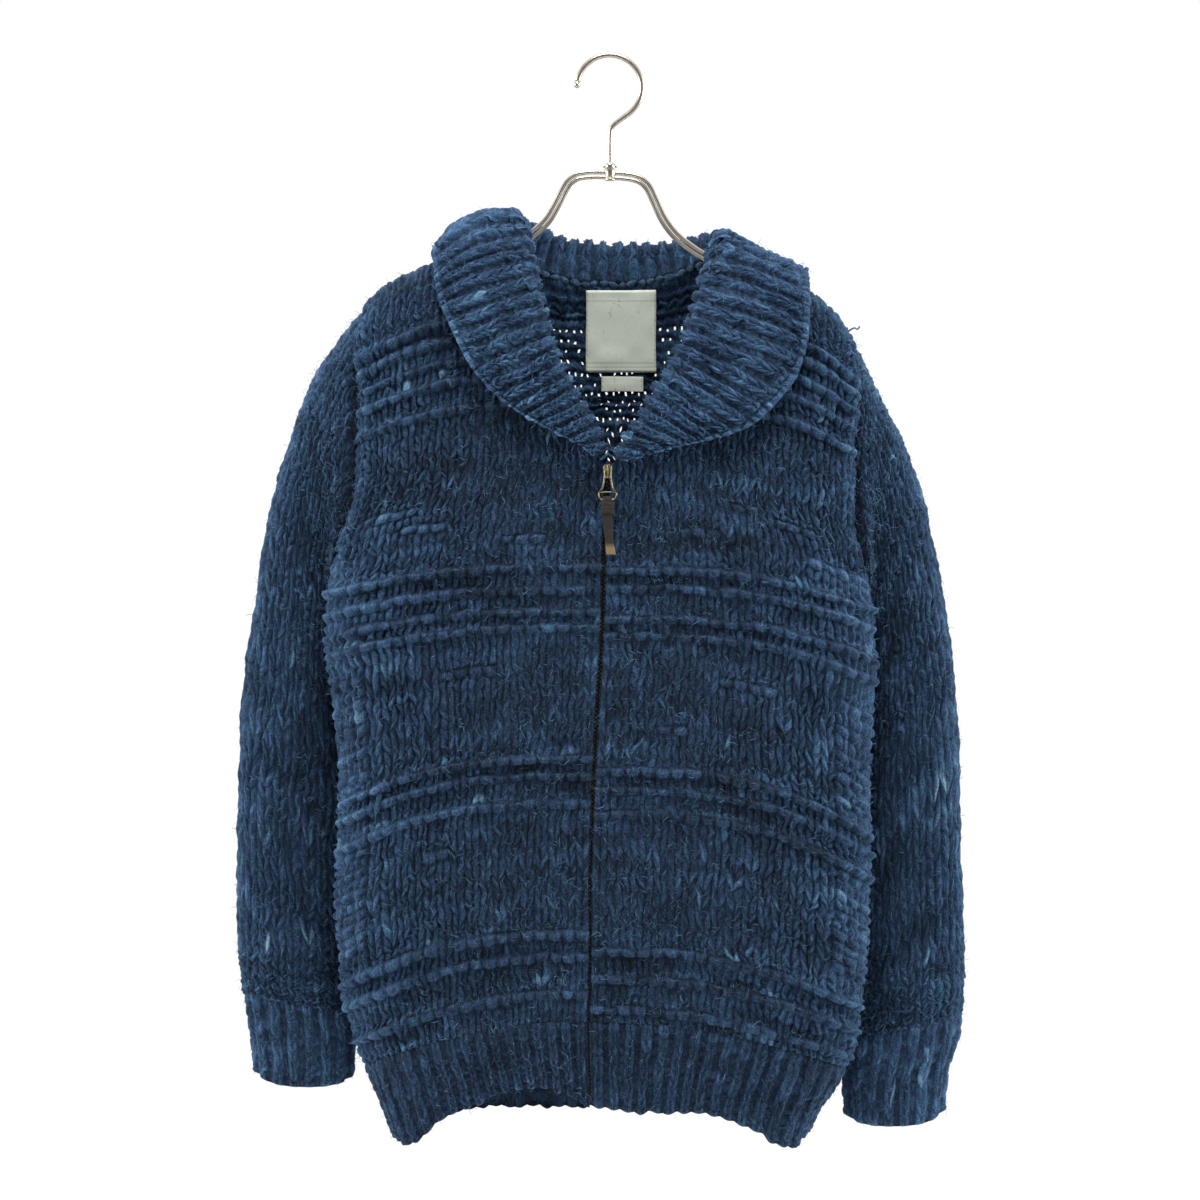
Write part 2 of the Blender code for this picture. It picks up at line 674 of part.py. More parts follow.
def rib_lift(low, high, ribs):
    def lift(column, row):
        phase = (column - low) / (high - low) * ribs
        fade = min(max((row - RIB_TOP) / RIB_START, LEAST_RIB), 1.0)
        return RIDGE * fade * (0.5 - 0.5 * math.cos(2 * math.pi * phase))

    return lift


def make_hem_rib(name, surface, facing, ribs):
    low, high = surface.least, surface.most
    rows = [mix(RIB_TOP + HEM_SEAM, HEM, share) for share in HEM_ROWS]
    columns = rib_columns(low, high, ribs)
    return cloth(
        name, surface, facing, rows, columns, rib_lift(low, high, ribs), INDIGO_RIB,
        inner_rows=[rows[0], rows[2], rows[3]], inner_columns=thinned(columns, 3),
    )


make_hem_rib("hem_rib_left", FrontSurface(-1), -1, HEM_RIBS_LEFT)
make_hem_rib("hem_rib_right", FrontSurface(1), -1, HEM_RIBS_RIGHT)
make_hem_rib("hem_rib_back", BACK_SURFACE, 1, HEM_RIBS_BACK)


# ---------------------------------------------------------------- sleeves and cuffs
def beside_body(side, point, room):
    """The point moved sideways until it has room beside the body's rounded side."""
    x, y, z = point
    facing = -1 if y < SIDE_SEAM_DEPTH else 1
    reach = abs(read(DEPTH, -z, 1 if facing < 0 else 2) - SIDE_SEAM_DEPTH) + room
    share = min(abs(y - SIDE_SEAM_DEPTH) / reach, 1.0)
    edge = side * side_edge(side, -z) + room
    limit = edge - (SIDE_FOLD + room) * (1 - math.sqrt(1 - share * share))
    apart = side * x - limit
    return np.array((side * (limit + (apart + math.hypot(apart, SOFT_PUSH)) / 2), y, z))


def ring_points(side, ring, count, sag):
    """Points round one ring of a sleeve, starting at its outer edge and passing the front."""
    outer_x, outer_down, inner_x, inner_down, outer_y, inner_y, half_depth, square = ring
    outer = np.array((outer_x, outer_y, -outer_down), float)
    inner = np.array((inner_x, inner_y, -inner_down), float)
    middle = (outer + inner) / 2
    half_width = np.linalg.norm(outer - inner) / 2
    axis = (outer - inner) / (2 * half_width)
    front = np.array((0.0, -1.0, 0.0))
    front = front - axis * axis.dot(front)
    front /= np.linalg.norm(front)
    points = []
    for k in range(count):
        angle = 2 * math.pi * k / count
        cosine, sine = math.cos(angle), math.sin(angle)
        along = math.copysign(abs(cosine) ** (2 / square), cosine) * half_width
        deep = math.copysign(abs(sine) ** (2 / square), sine) * half_depth
        point = middle + axis * along + front * deep
        point[2] -= sag * sine
        points.append(point)
    return points


def tube_normals(grid):
    """Outward unit normals of a grid of rings."""
    normals = []
    for i, ring in enumerate(grid):
        before, after = grid[max(i - 1, 0)], grid[min(i + 1, len(grid) - 1)]
        centre = sum(ring) / len(ring)
        row = []
        for k, point in enumerate(ring):
            normal = np.cross(ring[(k + 1) % len(ring)] - ring[k - 1], after[k] - before[k])
            normal *= math.copysign(1, normal.dot(point - centre)) / np.linalg.norm(normal)
            row.append(normal)
        normals.append(row)
    return normals


def make_tube(name, side, rings, count, material, sag=0.0, raised=0.0, at_armhole=False):
    """A sleeve or cuff: raised proud of its rings at every second point, and plain inside."""
    last = len(rings) - 1
    grid = []
    for index, ring in enumerate(rings):
        ring = ring_points(side, ring, count, sag * index / last)
        room = SLEEVE_ROOM * min(index / ARMHOLE_RINGS, 1) if at_armhole else SLEEVE_ROOM
        grid.append([beside_body(side, point, room) if room else point for point in ring])
    outer, inner = [], []
    for index, (ring, normals) in enumerate(zip(grid, tube_normals(grid))):
        shown = [p + raised * ((k + 1) % 2) * n for k, (p, n) in enumerate(zip(ring, normals))]
        hidden = [p - KNIT * n for p, n in zip(ring[::2], normals[::2])]
        if at_armhole and index == 0:
            for point in shown + hidden:
                point[0] = side_edge(side, max(-point[2], shoulder_tip(side))) + side * ARMHOLE_GAP
        outer.append(shown)
        inner.append(hidden)
    along = shares(range(len(rings)))
    places = [(along, shares(range(len(grid[0]) + 1))) for grid in (outer, inner)]
    return wall(name, outer, inner, *places, material, tube=True)


def smooth_rings(rings, count):
    """Rings at even steps of a table, between its own."""
    numbered = [(index, *ring) for index, ring in enumerate(rings)]
    places = [k * (len(rings) - 1) / (count - 1) for k in range(count)]
    return [tuple(read(numbered, at, column) for column in range(1, 9)) for at in places]


for side, name, rings in ((-1, "sleeve_left", SLEEVE_LEFT), (1, "sleeve_right", SLEEVE_RIGHT)):
    make_tube(name, side, smooth_rings(rings, SLEEVE_RINGS), SLEEVE_POINTS, INDIGO_WOOL, at_armhole=True)
for side, name, rings in ((-1, "cuff_left", CUFF_LEFT), (1, "cuff_right", CUFF_RIGHT)):
    make_tube(name, side, rings, 2 * CUFF_RIBS, INDIGO_RIB, sag=CUFF_SAG, raised=RIDGE)


# ---------------------------------------------------------------- shawl collar
def on_border(point_at_value, values, at):
    """A point of a panel's border, on the straight line between two of its own points."""
    high = min(max(int(np.searchsorted(values, at)), 1), len(values) - 1)
    share = (at - values[high - 1]) / (values[high] - values[high - 1])
    return mix(point_at_value(values[high - 1]), point_at_value(values[high]), share)


def neck_seam(side, station):
    """Outer and inner point of the neckline, from the V point (0) to the back's middle (1)."""
    points = []
    for height in (0.0, -KNIT):
        if station <= NECK_POINT_STATION:
            surface = FrontSurface(side)
            rows = front_rows(side)
            if height < 0:
                rows = inner_rows_of(rows, FRONT_INSIDE)
            row = read(COLLAR_ROW_LEFT if side < 0 else COLLAR_ROW_RIGHT, station)
            point = on_border(lambda row: offset_point(surface, -1, 0.0, row, height), rows, row)
            near_point = max(1 - (NECK_POINT_STATION - station) / NECK_POINT_REACH, 0)
            away = np.array((-side * NECK_SEAM, 0.0, NECK_SEAM * near_point))
        else:
            table = COLLAR_LEFT if side < 0 else COLLAR_RIGHT
            share = min(max(read(table, station) / read(table, NECK_POINT_STATION), 0), 1)
            across = side * neck_share(side) * share
            point = on_border(
                lambda across: offset_point(BACK_SURFACE, 1, across, BACK_NECK, height),
                back_columns(), across,
            )
            away = np.array((-side * NECK_SEAM * share, 0.0, NECK_SEAM))
        points.append(point + away)
    return points


def outside_body(point, room):
    """The point moved out of the body's shoulders, front and back until it has room."""
    x, y, z = point
    side = -1 if x < 0 else 1
    neck = (NECK_LEFT if side < 0 else NECK_RIGHT)[0][1]
    share = (x - neck) / (side_edge(side, shoulder_tip(side)) - neck)
    fold = SHOULDER_FOLD + room
    crest = shoulder_line(side, min(max(share, 0), 1)) - room
    above = max(crest + fold + z, 0.0) / fold
    depth = read(DEPTH, -z, 1 if y < 0 else 2) + math.copysign(room, y)
    reach = math.hypot(above, y / depth)
    if reach >= 1:
        return point
    if above == 0:
        return np.array((x, depth, z))
    return np.array((x, y / reach, above / reach * fold - crest - fold))


def collar_section(side, station, count, proud, face):
    """Points across the collar from the neck seam over the fold to the outer edge.

    face is 1 for the side that shows and -1 for the side against the body.
    """
    table = COLLAR_LEFT if side < 0 else COLLAR_RIGHT
    fold_x, fold_y, fold_down, edge_x, edge_y, edge_down, turn, bulge = (
        read(table, station, column) for column in range(1, 9)
    )
    fold = np.array((fold_x, fold_y, -fold_down))
    edge = np.array((edge_x, edge_y, -edge_down))
    length = np.linalg.norm(edge - fold)
    along = (edge - fold) / length
    turn = math.radians(turn)
    outside = np.array((side * 0.35 * math.sin(turn), -math.cos(turn), 0.95 * math.sin(turn)))
    outside = outside - along * along.dot(outside)
    outside /= np.linalg.norm(outside)
    neck_outer, neck_inner = neck_seam(side, station)
    seam = (neck_outer + neck_inner) / 2
    roll = min(COLLAR_ROLL, 0.3 * length, 0.6 * np.linalg.norm(seam - fold))
    middle = []
    for k in range(count):
        share = k / (count - 1)
        if share < FOLD_STARTS:
            point = mix(seam, fold + roll * (along - outside), share / FOLD_STARTS)
        elif share < FOLD_ENDS:
            turned = math.pi * (share - FOLD_STARTS) / (FOLD_ENDS - FOLD_STARTS)
            point = fold + roll * ((1 - math.sin(turned)) * along - math.cos(turned) * outside)
        else:
            t = (share - FOLD_ENDS) / (1 - FOLD_ENDS)
            rise = roll * (1 - t) + bulge * 4 * t * (1 - t)
            point = outside_body(fold + mix(roll, length, t) * along + rise * outside, COLLAR_ROOM)
        middle.append(point)
    across = np.cross(along, outside)
    points = [neck_inner if face > 0 else neck_outer]
    for k in range(1, count):
        tangent = middle[min(k + 1, count - 1)] - middle[k - 1]
        normal = np.cross(across, tangent)
        normal /= np.linalg.norm(normal)
        point = middle[k] + face * (KNIT / 2 + proud) * normal
        if k / (count - 1) < FOLD_STARTS and station < 1:
            neck = side * read(NECK_LEFT if side < 0 else NECK_RIGHT, -point[2])
            point[0] = side * min(side * point[0], neck - NECK_SEAM)
        points.append(point)
    return points


def collar_stations(count):
    """Stations of both sides at even lengths along the fold, from V point to V point."""
    fine = np.linspace(COLLAR_START, 1, 200)
    placed = []
    for side in (-1, 1):
        table = COLLAR_LEFT if side < 0 else COLLAR_RIGHT
        fold = np.array([[read(table, s, c) for c in (1, 2, 3)] for s in fine])
        length = np.concatenate([[0], np.cumsum(np.linalg.norm(np.diff(fold, axis=0), axis=1))])
        even = np.interp(np.linspace(0, length[-1], count), length, fine)
        placed.append([(side, float(s)) for s in even])
    return placed[0] + placed[1][-2::-1]


def make_collar():
    stations = collar_stations(2 * COLLAR_RIBS + 1)
    shown, hidden = COLLAR_POINTS
    outer = [
        collar_section(side, station, shown, RIDGE * (index % 2), 1)
        for index, (side, station) in enumerate(stations)
    ]
    inner = [collar_section(side, station, hidden, 0.0, -1) for side, station in stations[::2]]
    places = shares(range(len(stations)))
    return wall(
        "shawl_collar", outer, inner, (places, shares(range(shown))),
        (places[::2], shares(range(hidden))), INDIGO_RIB,
    )


make_collar()


# ---------------------------------------------------------------- zip
def ribbon(name, rows, middle_at, edges, back_at, thick, material):
    """A flat strip down the body, from one edge to the other of its middle, and thick ahead."""
    outer = [
        [np.array((middle_at(row) + edge, back_at(row) - thick, -row)) for edge in edges]
        for row in rows
    ]
    inner = [[point + np.array((0, thick, 0)) for point in pair] for pair in outer]
    places = (shares(rows), [0, 1])
    return wall(name, outer, inner, places, places, material)


def zip_x(row):
    return read(ZIP_LINE, row)


def inside_front(row):
    """Y of the inner surface of the fronts beside the zip."""
    return read(DEPTH, row, 1) + KNIT


def tape_back(row):
    return inside_front(row) + TAPE_ROOM + TAPE_THICK


def chain_back(row):
    return inside_front(row) + TAPE_ROOM - SEAM


def make_zip():
    top, bottom = SLIDER_BOTTOM + SEAM, HEM - TAPE_SHORT
    rows = [mix(top, bottom, k / (ZIP_POINTS - 1)) for k in range(ZIP_POINTS)]
    for side, name in ((-1, "zip_tape_left"), (1, "zip_tape_right")):
        edges = sorted((side * SEAM / 2, side * TAPE_WIDTH))
        ribbon(name, rows, zip_x, edges, tape_back, TAPE_THICK, ZIP_TAPE)
    edges = (-CHAIN_WIDTH / 2, CHAIN_WIDTH / 2)
    ribbon("zip_chain", rows, zip_x, edges, chain_back, CHAIN_THICK, AGED_BRASS)


make_zip()


def prism(name, outline, axis, low, high, material, hole=None):
    """A prism along X (0) or Z (2), its outline given in the other two axes, with one hole.

    The hole has as many points as the outline, in the same turning order.
    """
    loops = [outline] + ([hole] if hole else [])
    vertices = []
    for level in (low, high):
        for loop in loops:
            vertices += [(level, a, b) if axis == 0 else (a, b, level) for a, b in loop]
    count = len(outline)
    rings = len(loops)
    faces = []
    for k in range(count):
        after = (k + 1) % count
        for loop in range(rings):
            low_start, high_start = loop * count, (rings + loop) * count
            faces.append((low_start + k, low_start + after, high_start + after, high_start + k))
        if hole:
            for start in (0, rings * count):
                inside = start + count
                faces.append((start + k, start + after, inside + after, inside + k))
    if not hole:
        faces += [list(range(count)), list(range(count, 2 * count))]
    return make_object(name, vertices, faces, material)


def plate(name, x, half_width, front, back, top, bottom):
    """A block with its front and back given in Y and its top and bottom in down."""
    outline = [(back, -top), (front, -top), (front, -bottom), (back, -bottom)]
    return prism(name, outline, 0, x - half_width, x + half_width, AGED_BRASS)


def make_slider():
    """Two plates joined by a wedge through the gap, and a bridge for the pull."""
    x = zip_x(SLIDER_TOP)
    half = SLIDER_WIDTH / 2
    front = SLIDER_FRONT
    back = inside_front(SLIDER_TOP) + TAPE_ROOM
    pivot_y, pivot_down = PULL_PIVOT
    slider = plate("zip_slider", x, half, front, front + PLATE, SLIDER_TOP, SLIDER_BOTTOM)
    parts = [
        plate(
            "wedge", x, WEDGE_HALF, front + PLATE / 2, back + PLATE / 2,
            SLIDER_TOP + WEDGE_SHORT, SLIDER_BOTTOM - 2 * WEDGE_SHORT,
        ),
        plate(
            "back_plate", x, half, back, back + PLATE, SLIDER_TOP + WEDGE_SHORT / 2, SLIDER_BOTTOM
        ),
    ]
    outline, hole = [], []
    for k in range(12):
        turn = 2 * math.pi * k / 12
        outline.append((
            pivot_y + BRIDGE_BACK + BRIDGE_OUTSIDE[0] * math.cos(turn),
            -pivot_down + BRIDGE_OUTSIDE[1] * math.sin(turn),
        ))
        hole.append((
            pivot_y + BRIDGE_HOLE[0] * math.cos(turn), -pivot_down + BRIDGE_HOLE[1] * math.sin(turn)
        ))
    bridge_sides = (x - BRIDGE_HALF, x + BRIDGE_HALF)
    parts.append(prism("bridge", outline, 0, *bridge_sides, AGED_BRASS, hole=hole))
    for part in parts:
        joined = slider.modifiers.new(part.name, "BOOLEAN")
        joined.operation = "UNION"
        joined.object = part
        part.hide_render = True
        part.display_type = "WIRE"


make_slider()


def wire(name, points, radius, material, closed=False, radii=None, resolution=2):
    """A round wire along points given as x, y and down."""
    curve = bpy.data.curves.new(name, "CURVE")
    curve.dimensions = "3D"
    curve.bevel_depth = radius * MM
    curve.bevel_resolution = resolution
    curve.use_fill_caps = True
    curve.render_resolution_u = 0
    line = curve.splines.new("POLY")
    line.points.add(len(points) - 1)
    line.use_cyclic_u = closed
    for k, (x, y, down) in enumerate(points):
        line.points[k].co = (x * MM, y * MM, -down * MM, 1)
        line.points[k].radius = radii[k] if radii else 1
    curve.materials.append(material)
    made = bpy.data.objects.new(name, curve)
    bpy.context.scene.collection.objects.link(made)
    return made


def make_pull():
    """A ring from the slider's bridge, its cross bar, and a leather tab looped round it."""
    x = zip_x(SLIDER_TOP)
    y, top = PULL_PIVOT
    low = RING_BOTTOM - RING_HALF
    neck_half, neck_below = RING_NECK
    right_half = [(RING_TOP_HALF, top), (neck_half, top + neck_below), (RING_HALF - 0.6, low - 5)]
    turns = [math.radians(angle) for angle in range(0, 181, 30)]
    arc = [(RING_HALF * math.cos(turn), low + RING_HALF * math.sin(turn)) for turn in turns]
    left_half = [(-across, down) for across, down in right_half[::-1]]
    path = [(x + across, y, down) for across, down in right_half + arc + left_half]
    ring = wire("pull_ring", path, PULL_WIRE, AGED_BRASS, closed=True)
    reach = RING_HALF - PULL_WIRE - SEAM
    ends = [(x + half * reach, y, PULL_BAR_DOWN) for half in (-1, 1)]
    bar = wire("pull_bar", ends, PULL_BAR, AGED_BRASS)
    loops = []
    for (half_depth, half_height), raised in zip((TAB_LOOP, TAB_HOLE), TAB_RAISED):
        turns = [math.pi / 2 + 2 * math.pi * k / 16 for k in range(16)]
        loops.append([
            (y + half_depth * math.cos(turn), raised - RING_BOTTOM + half_height * math.sin(turn))
            for turn in turns
        ])
    outline, hole = loops
    outline[7:10] = [(y - TAB_THICK / 2, -TAB_TIP), (y, -TAB_TIP - 0.4), (y + TAB_THICK / 2, -TAB_TIP)]
    tab = prism("leather_tab", outline, 0, x - TAB_HALF, x + TAB_HALF, BROWN_LEATHER, hole=hole)
    pivot = bpy.data.objects.new("pull_pivot", None)
    bpy.context.scene.collection.objects.link(pivot)
    pivot.location = (x * MM, y * MM, -top * MM)
    for piece in (ring, bar, tab):
        piece.parent = pivot
        piece.location = [-place for place in pivot.location]


make_pull()


# ---------------------------------------------------------------- labels and hanger
def label_back(row):
    return read(DEPTH, row, 2) - KNIT - LABEL_ROOM


def make_label(name, label):
    middle, top, width, height = label
    rows = [top + height * k / 4 for k in range(5)]
    edges = (-width / 2, width / 2)
    ribbon(name, rows, lambda row: middle, edges, label_back, LABEL_THICK, LABEL_SATIN)


make_label("neck_label", NECK_LABEL)
make_label("size_label", SIZE_LABEL)


def hanger_arm(side):
    """Table of one side of the frame, with the seats up against the shoulder added."""
    neck = (NECK_LEFT if side < 0 else NECK_RIGHT)[0][1]
    tip = side_edge(side, shoulder_tip(side))
    seats = []
    for reach in HANGER_SEAT:
        share = (JOINT_X + side * reach - neck) / (tip - neck)
        ahead, behind = shoulder_line(side, share + 0.02), shoulder_line(side, share - 0.02)
        steepness = math.hypot(1, (ahead - behind) / (0.04 * (tip - neck)))
        drop = (KNIT + SEAT_ROOM + ROD_APART / 2 + ROD) * steepness
        seats.append((reach, shoulder_line(side, share) + drop))
    return (HANGER_LEFT if side < 0 else HANGER_RIGHT) + tuple(seats)


def make_hook():
    x0, down0 = HOOK_MIDDLE
    first, last = HOOK_ARC
    turns = [math.radians(mix(first, last, k / 17)) for k in range(18)]
    bend = [
        (x0 + HOOK_RADIUS * math.cos(turn), 0, down0 - HOOK_RADIUS * math.sin(turn)) for turn in turns
    ]
    path = bend + [(x, 0, down) for x, down in HOOK_SHANK]
    radii = [0.6, HOOK_BALL, 0.9] + [1.0] * (len(bend) - 3)
    radii += [mix(1, SHANK, min((k + 1) / 4, 1)) for k in range(len(HOOK_SHANK))]
    wire("hanger_hook", path, WIRE, HANGER_STEEL, radii=radii)


def make_joint():
    """The block under the hook, with a cross slot for the two rods."""
    turns = [2 * math.pi * k / 16 for k in range(16)]
    block = [
        (JOINT_X + JOINT_RADIUS * math.cos(turn), JOINT_RADIUS * math.sin(turn)) for turn in turns
    ]
    joint = prism("hanger_joint", block, 2, -JOINT_BOTTOM, -JOINT_TOP, HANGER_STEEL)
    bore = ROD + 0.5
    slot = [
        (
            bore * math.cos(turn),
            bore * math.sin(turn) + math.copysign(ROD_APART / 2, math.sin(turn)) - HANGER_LEFT[0][1],
        )
        for turn in (math.pi * (k + 0.5) / 8 for k in range(16))
    ]
    reach = JOINT_RADIUS + 4
    cross = prism("cross_slot", slot, 0, JOINT_X - reach, JOINT_X + reach, HANGER_STEEL)
    cross.hide_render = True
    cross.display_type = "WIRE"
    cut = joint.modifiers.new("cross slot", "BOOLEAN")
    cut.operation = "DIFFERENCE"
    cut.object = cross


def make_frame():
    middle = []
    for side in (-1, 1):
        table = hanger_arm(side)
        arm = [(side * reach, read(table, reach)) for reach in np.linspace(0, HANGER_REACH, 22)]
        middle += arm[::-1] if side < 0 else arm[1:]
    for name, above in (("hanger_rod_upper", 1), ("hanger_rod_lower", -1)):
        path = []
        for k, (x, down) in enumerate(middle):
            before, after = middle[max(k - 1, 0)], middle[min(k + 1, len(middle) - 1)]
            run, fall = after[0] - before[0], after[1] - before[1]
            shift = above * ROD_APART / 2 / math.hypot(run, fall)
            path.append((JOINT_X + x + shift * fall, 0, down - shift * run))
        wire(name, path, ROD, HANGER_STEEL, resolution=1)


make_hook()
make_joint()
make_frame()
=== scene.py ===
"""A chunky hand-knit zip cardigan with a folded shawl collar, on a wire hanger.

Lengths are in millimetres and become metres where a mesh is made. +X is to the right of
someone who faces the front, the front faces -Y, and "down" is measured from the inside top
of the hanger's hook.
"""
import math

import bmesh
import bpy
import numpy as np
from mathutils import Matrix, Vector


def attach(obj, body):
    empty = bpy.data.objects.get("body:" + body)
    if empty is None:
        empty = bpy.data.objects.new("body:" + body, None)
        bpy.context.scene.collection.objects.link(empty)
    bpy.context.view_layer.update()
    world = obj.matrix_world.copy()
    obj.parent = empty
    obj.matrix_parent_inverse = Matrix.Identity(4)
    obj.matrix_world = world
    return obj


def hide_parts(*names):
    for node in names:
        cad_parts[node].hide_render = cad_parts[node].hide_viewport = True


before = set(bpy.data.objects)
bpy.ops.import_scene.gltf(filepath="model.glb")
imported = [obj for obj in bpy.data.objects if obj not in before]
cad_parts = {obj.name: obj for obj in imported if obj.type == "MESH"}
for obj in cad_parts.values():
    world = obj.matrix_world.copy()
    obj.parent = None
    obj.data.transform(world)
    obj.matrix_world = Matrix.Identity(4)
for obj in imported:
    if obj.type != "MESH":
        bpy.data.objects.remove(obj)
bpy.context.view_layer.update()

# ------------------------------------------------------------------ back
# One panel of super-bulky wool, knitted flat: smooth stitches with bands of purl ridges. It
# folds over the shoulders and round the sides, where the fronts are sewn on, and its knitting
# is loose enough under the neck for light to show through.
MM = 0.001              # one millimetre, in metres
SEAM = 0.3              # gap between two pieces at a seam
KNIT = 6.0              # thickness of the knitted cloth
RIDGE = 2.4             # height of a purl ridge
RIDGE_REACH = 6.2       # how far a ridge reaches above and below its row
NECK_POINT = 161.0      # down to the neck point, back neck, back yoke and foot of the V
BACK_NECK = 190.0
BACK_YOKE = 287.0
V_POINT = 344.0
UNDERARM = {-1: 419.0, 1: 431.0}
SHOULDER_TIP = {-1: 206.0, 1: 231.0}
RIB_TOP = 806.0         # down to the top and the foot of the hem's rib, in the middle
HEM = 877.0
SIDE_FOLD = 42.0        # width of the rounded side, in the front view
SIDE_FOLD_ARC = 62.0    # length of cloth in that fold
SHOULDER_FOLD = 18.0    # how far down the shoulder is rounded
SIDE_SEAM_DEPTH = -8.0  # Y of the side seams
ARMHOLE_HALF_DEPTH = 23.0
NECK_CURVE = 2.4        # power of the back neck's curve
TONE = 0.36             # middle tone of the yarn, and how much it varies from row to row
TONE_OF_ROWS = 0.022
TONE_KEPT = 0.68        # share of a leg's tone that the next leg keeps, and its own change
TONE_OF_LEGS = 0.054
BRIGHT_LEGS = 0.03      # share of legs knitted from an undyed stretch
PURL_SLANT = 0.14       # how many rows a line of points drops beside a purl stitch
LINE_STEP = 0.6         # most rows by which a line drops further than its neighbour
SLACK = 0.2             # how unequal the stitches are
SIDES = {       # down and x of the body's two sides
    -1: (
        (206, -203), (238, -210), (265, -208), (286, -205), (304, -206), (354, -208),
        (385, -214), (413, -224), (455, -232), (497, -234), (539, -230), (606, -224),
        (665, -226), (707, -227), (732, -225), (791, -221), (808, -215), (832, -208),
        (867, -193), (905, -177), (913, -173),
    ),
    1: (
        (231, 203), (265, 208), (294, 207), (324, 203), (391, 203), (428, 212),
        (455, 218), (514, 223), (556, 220), (615, 218), (648, 219), (732, 217),
        (774, 213), (816, 208), (842, 201), (858, 193), (879, 178), (899, 168), (917, 161),
    ),
}
SHOULDERS = {   # share of the way from neck to shoulder tip, and of the fall
    -1: ((0, 0), (0.3, 0.09), (0.52, 0.24), (0.76, 0.55), (0.9, 0.78), (1, 1)),
    1: ((0, 0), (0.15, 0.09), (0.31, 0.20), (0.54, 0.36), (0.7, 0.5), (0.85, 0.7), (1, 1)),
}
ZIP_LINE = (    # down and x
    (300, 0), (344, -0.4), (422, -3.4), (489, -5.4), (535, -8.2), (615, -12.2),
    (690, -14.6), (758, -15), (812, -16.4), (877, -14.5), (920, -14),
)
NECKLINE = {    # down and x of the cut neckline
    -1: ((161, -90), (186, -82), (220, -71), (258, -55), (291, -37), (321, -19), (344, -2.7)),
    1: ((161, 98), (186, 94), (228, 81), (277, 61), (307, 41), (327, 21), (344, 1.9)),
}
DROOP = (       # row, and how far its left and right ends hang below its middle
    (344, 26, 34), (427, 24, 36), (485, 26, 40), (586, 42, 58), (660, 44, 56),
    (746, 46, 50), (806, 38, 40),
)
HEM_BACK = (    # share of the way to the side, and down
    (0, 885), (0.3, 884), (0.55, 884), (0.72, 888), (0.86, 900), (0.95, 908), (1, 905),
)
DEPTH = (       # down, Y of the front, Y of the back
    (161, -17, 16), (173, -20, 19), (200, -28, 25), (235, -34, 29), (290, -40, 32),
    (344, -43, 33), (450, -45, 34), (620, -46, 34), (790, -45, 33), (850, -43, 31),
    (920, -42, 30),
)


def read(table, at, column=1):
    """Smooth values of one column of a table whose first column rises."""
    keys = np.array([row[0] for row in table], float)
    values = np.array([row[column] for row in table], float)
    at = np.clip(np.asarray(at, float), keys[0], keys[-1])
    rises = np.diff(values) / np.diff(keys)
    slopes = np.empty(len(keys))
    slopes[0], slopes[-1] = rises[0], rises[-1]
    product = rises[:-1] * rises[1:]
    total = rises[:-1] + rises[1:]
    slopes[1:-1] = np.where(product > 0, 2 * product / np.where(product > 0, total, 1), 0)
    i = np.clip(np.searchsorted(keys, at, side="right") - 1, 0, len(keys) - 2)
    span = keys[i + 1] - keys[i]
    t = (at - keys[i]) / span
    return (
        values[i] * (1 + 2 * t) * (1 - t) ** 2 + slopes[i] * span * t * (1 - t) ** 2
        + values[i + 1] * t * t * (3 - 2 * t) + slopes[i + 1] * span * t * t * (t - 1)
    )


def rounded(share):
    """Height of a quarter circle over share 0..1."""
    return np.sqrt(1 - (1 - clamp(share)) ** 2)


def mix(a, b, share):
    """From a (share 0) to b (share 1)."""
    return a + (b - a) * share


def clamp(value):
    return np.clip(value, 0, 1)


def bell(distance, width):
    """1 at no distance, falling to nothing a few widths away."""
    return np.exp(-((distance / width) ** 2))


def eased(share):
    """Share 0..1 that starts and ends softly."""
    return share * share * (3 - 2 * share)


def side_edge(side, down):
    """X of the body's side."""
    return read(SIDES[side], down)


def shoulder_line(side, share):
    """Down to the shoulder, at a share of the way from the neck point to its tip."""
    return mix(NECK_POINT, SHOULDER_TIP[side], read(SHOULDERS[side], share))


def armhole_depth(side, down, facing):
    """Y of the armhole's edge on the front (facing -1) or back (1), and of the side seam."""
    share = (UNDERARM[side] - down) / (UNDERARM[side] - SHOULDER_TIP[side])
    inside = clamp(share)
    bow = clamp(1 - np.abs(2 * inside - 1) ** 3) ** (1 / 3)
    open_edge = mix(SIDE_SEAM_DEPTH, 0, share) + facing * ARMHOLE_HALF_DEPTH * bow
    return np.where(share <= 0, SIDE_SEAM_DEPTH, open_edge)


def across_fold(from_side):
    """Distance from the side in the front view, for a length of cloth round the side's fold."""
    turn = clamp(from_side / SIDE_FOLD_ARC) * math.pi / 2
    return SIDE_FOLD * (1 - np.cos(turn)) + np.maximum(from_side - SIDE_FOLD_ARC, 0)


def droop(side, row, u):
    """How far a row hangs below its middle, u from the middle (0) to the side (1)."""
    softer_from = 700
    steep = mix(3.0, 2.0, clamp((row - softer_from) / (RIB_TOP - softer_from)))
    return read(DROOP, row, 1 if side < 0 else 2) * u ** steep


def neck_share(side):
    """Share of the way to the shoulder's tip at which the neck ends."""
    return NECKLINE[side][0][1] / float(side_edge(side, SHOULDER_TIP[side]))


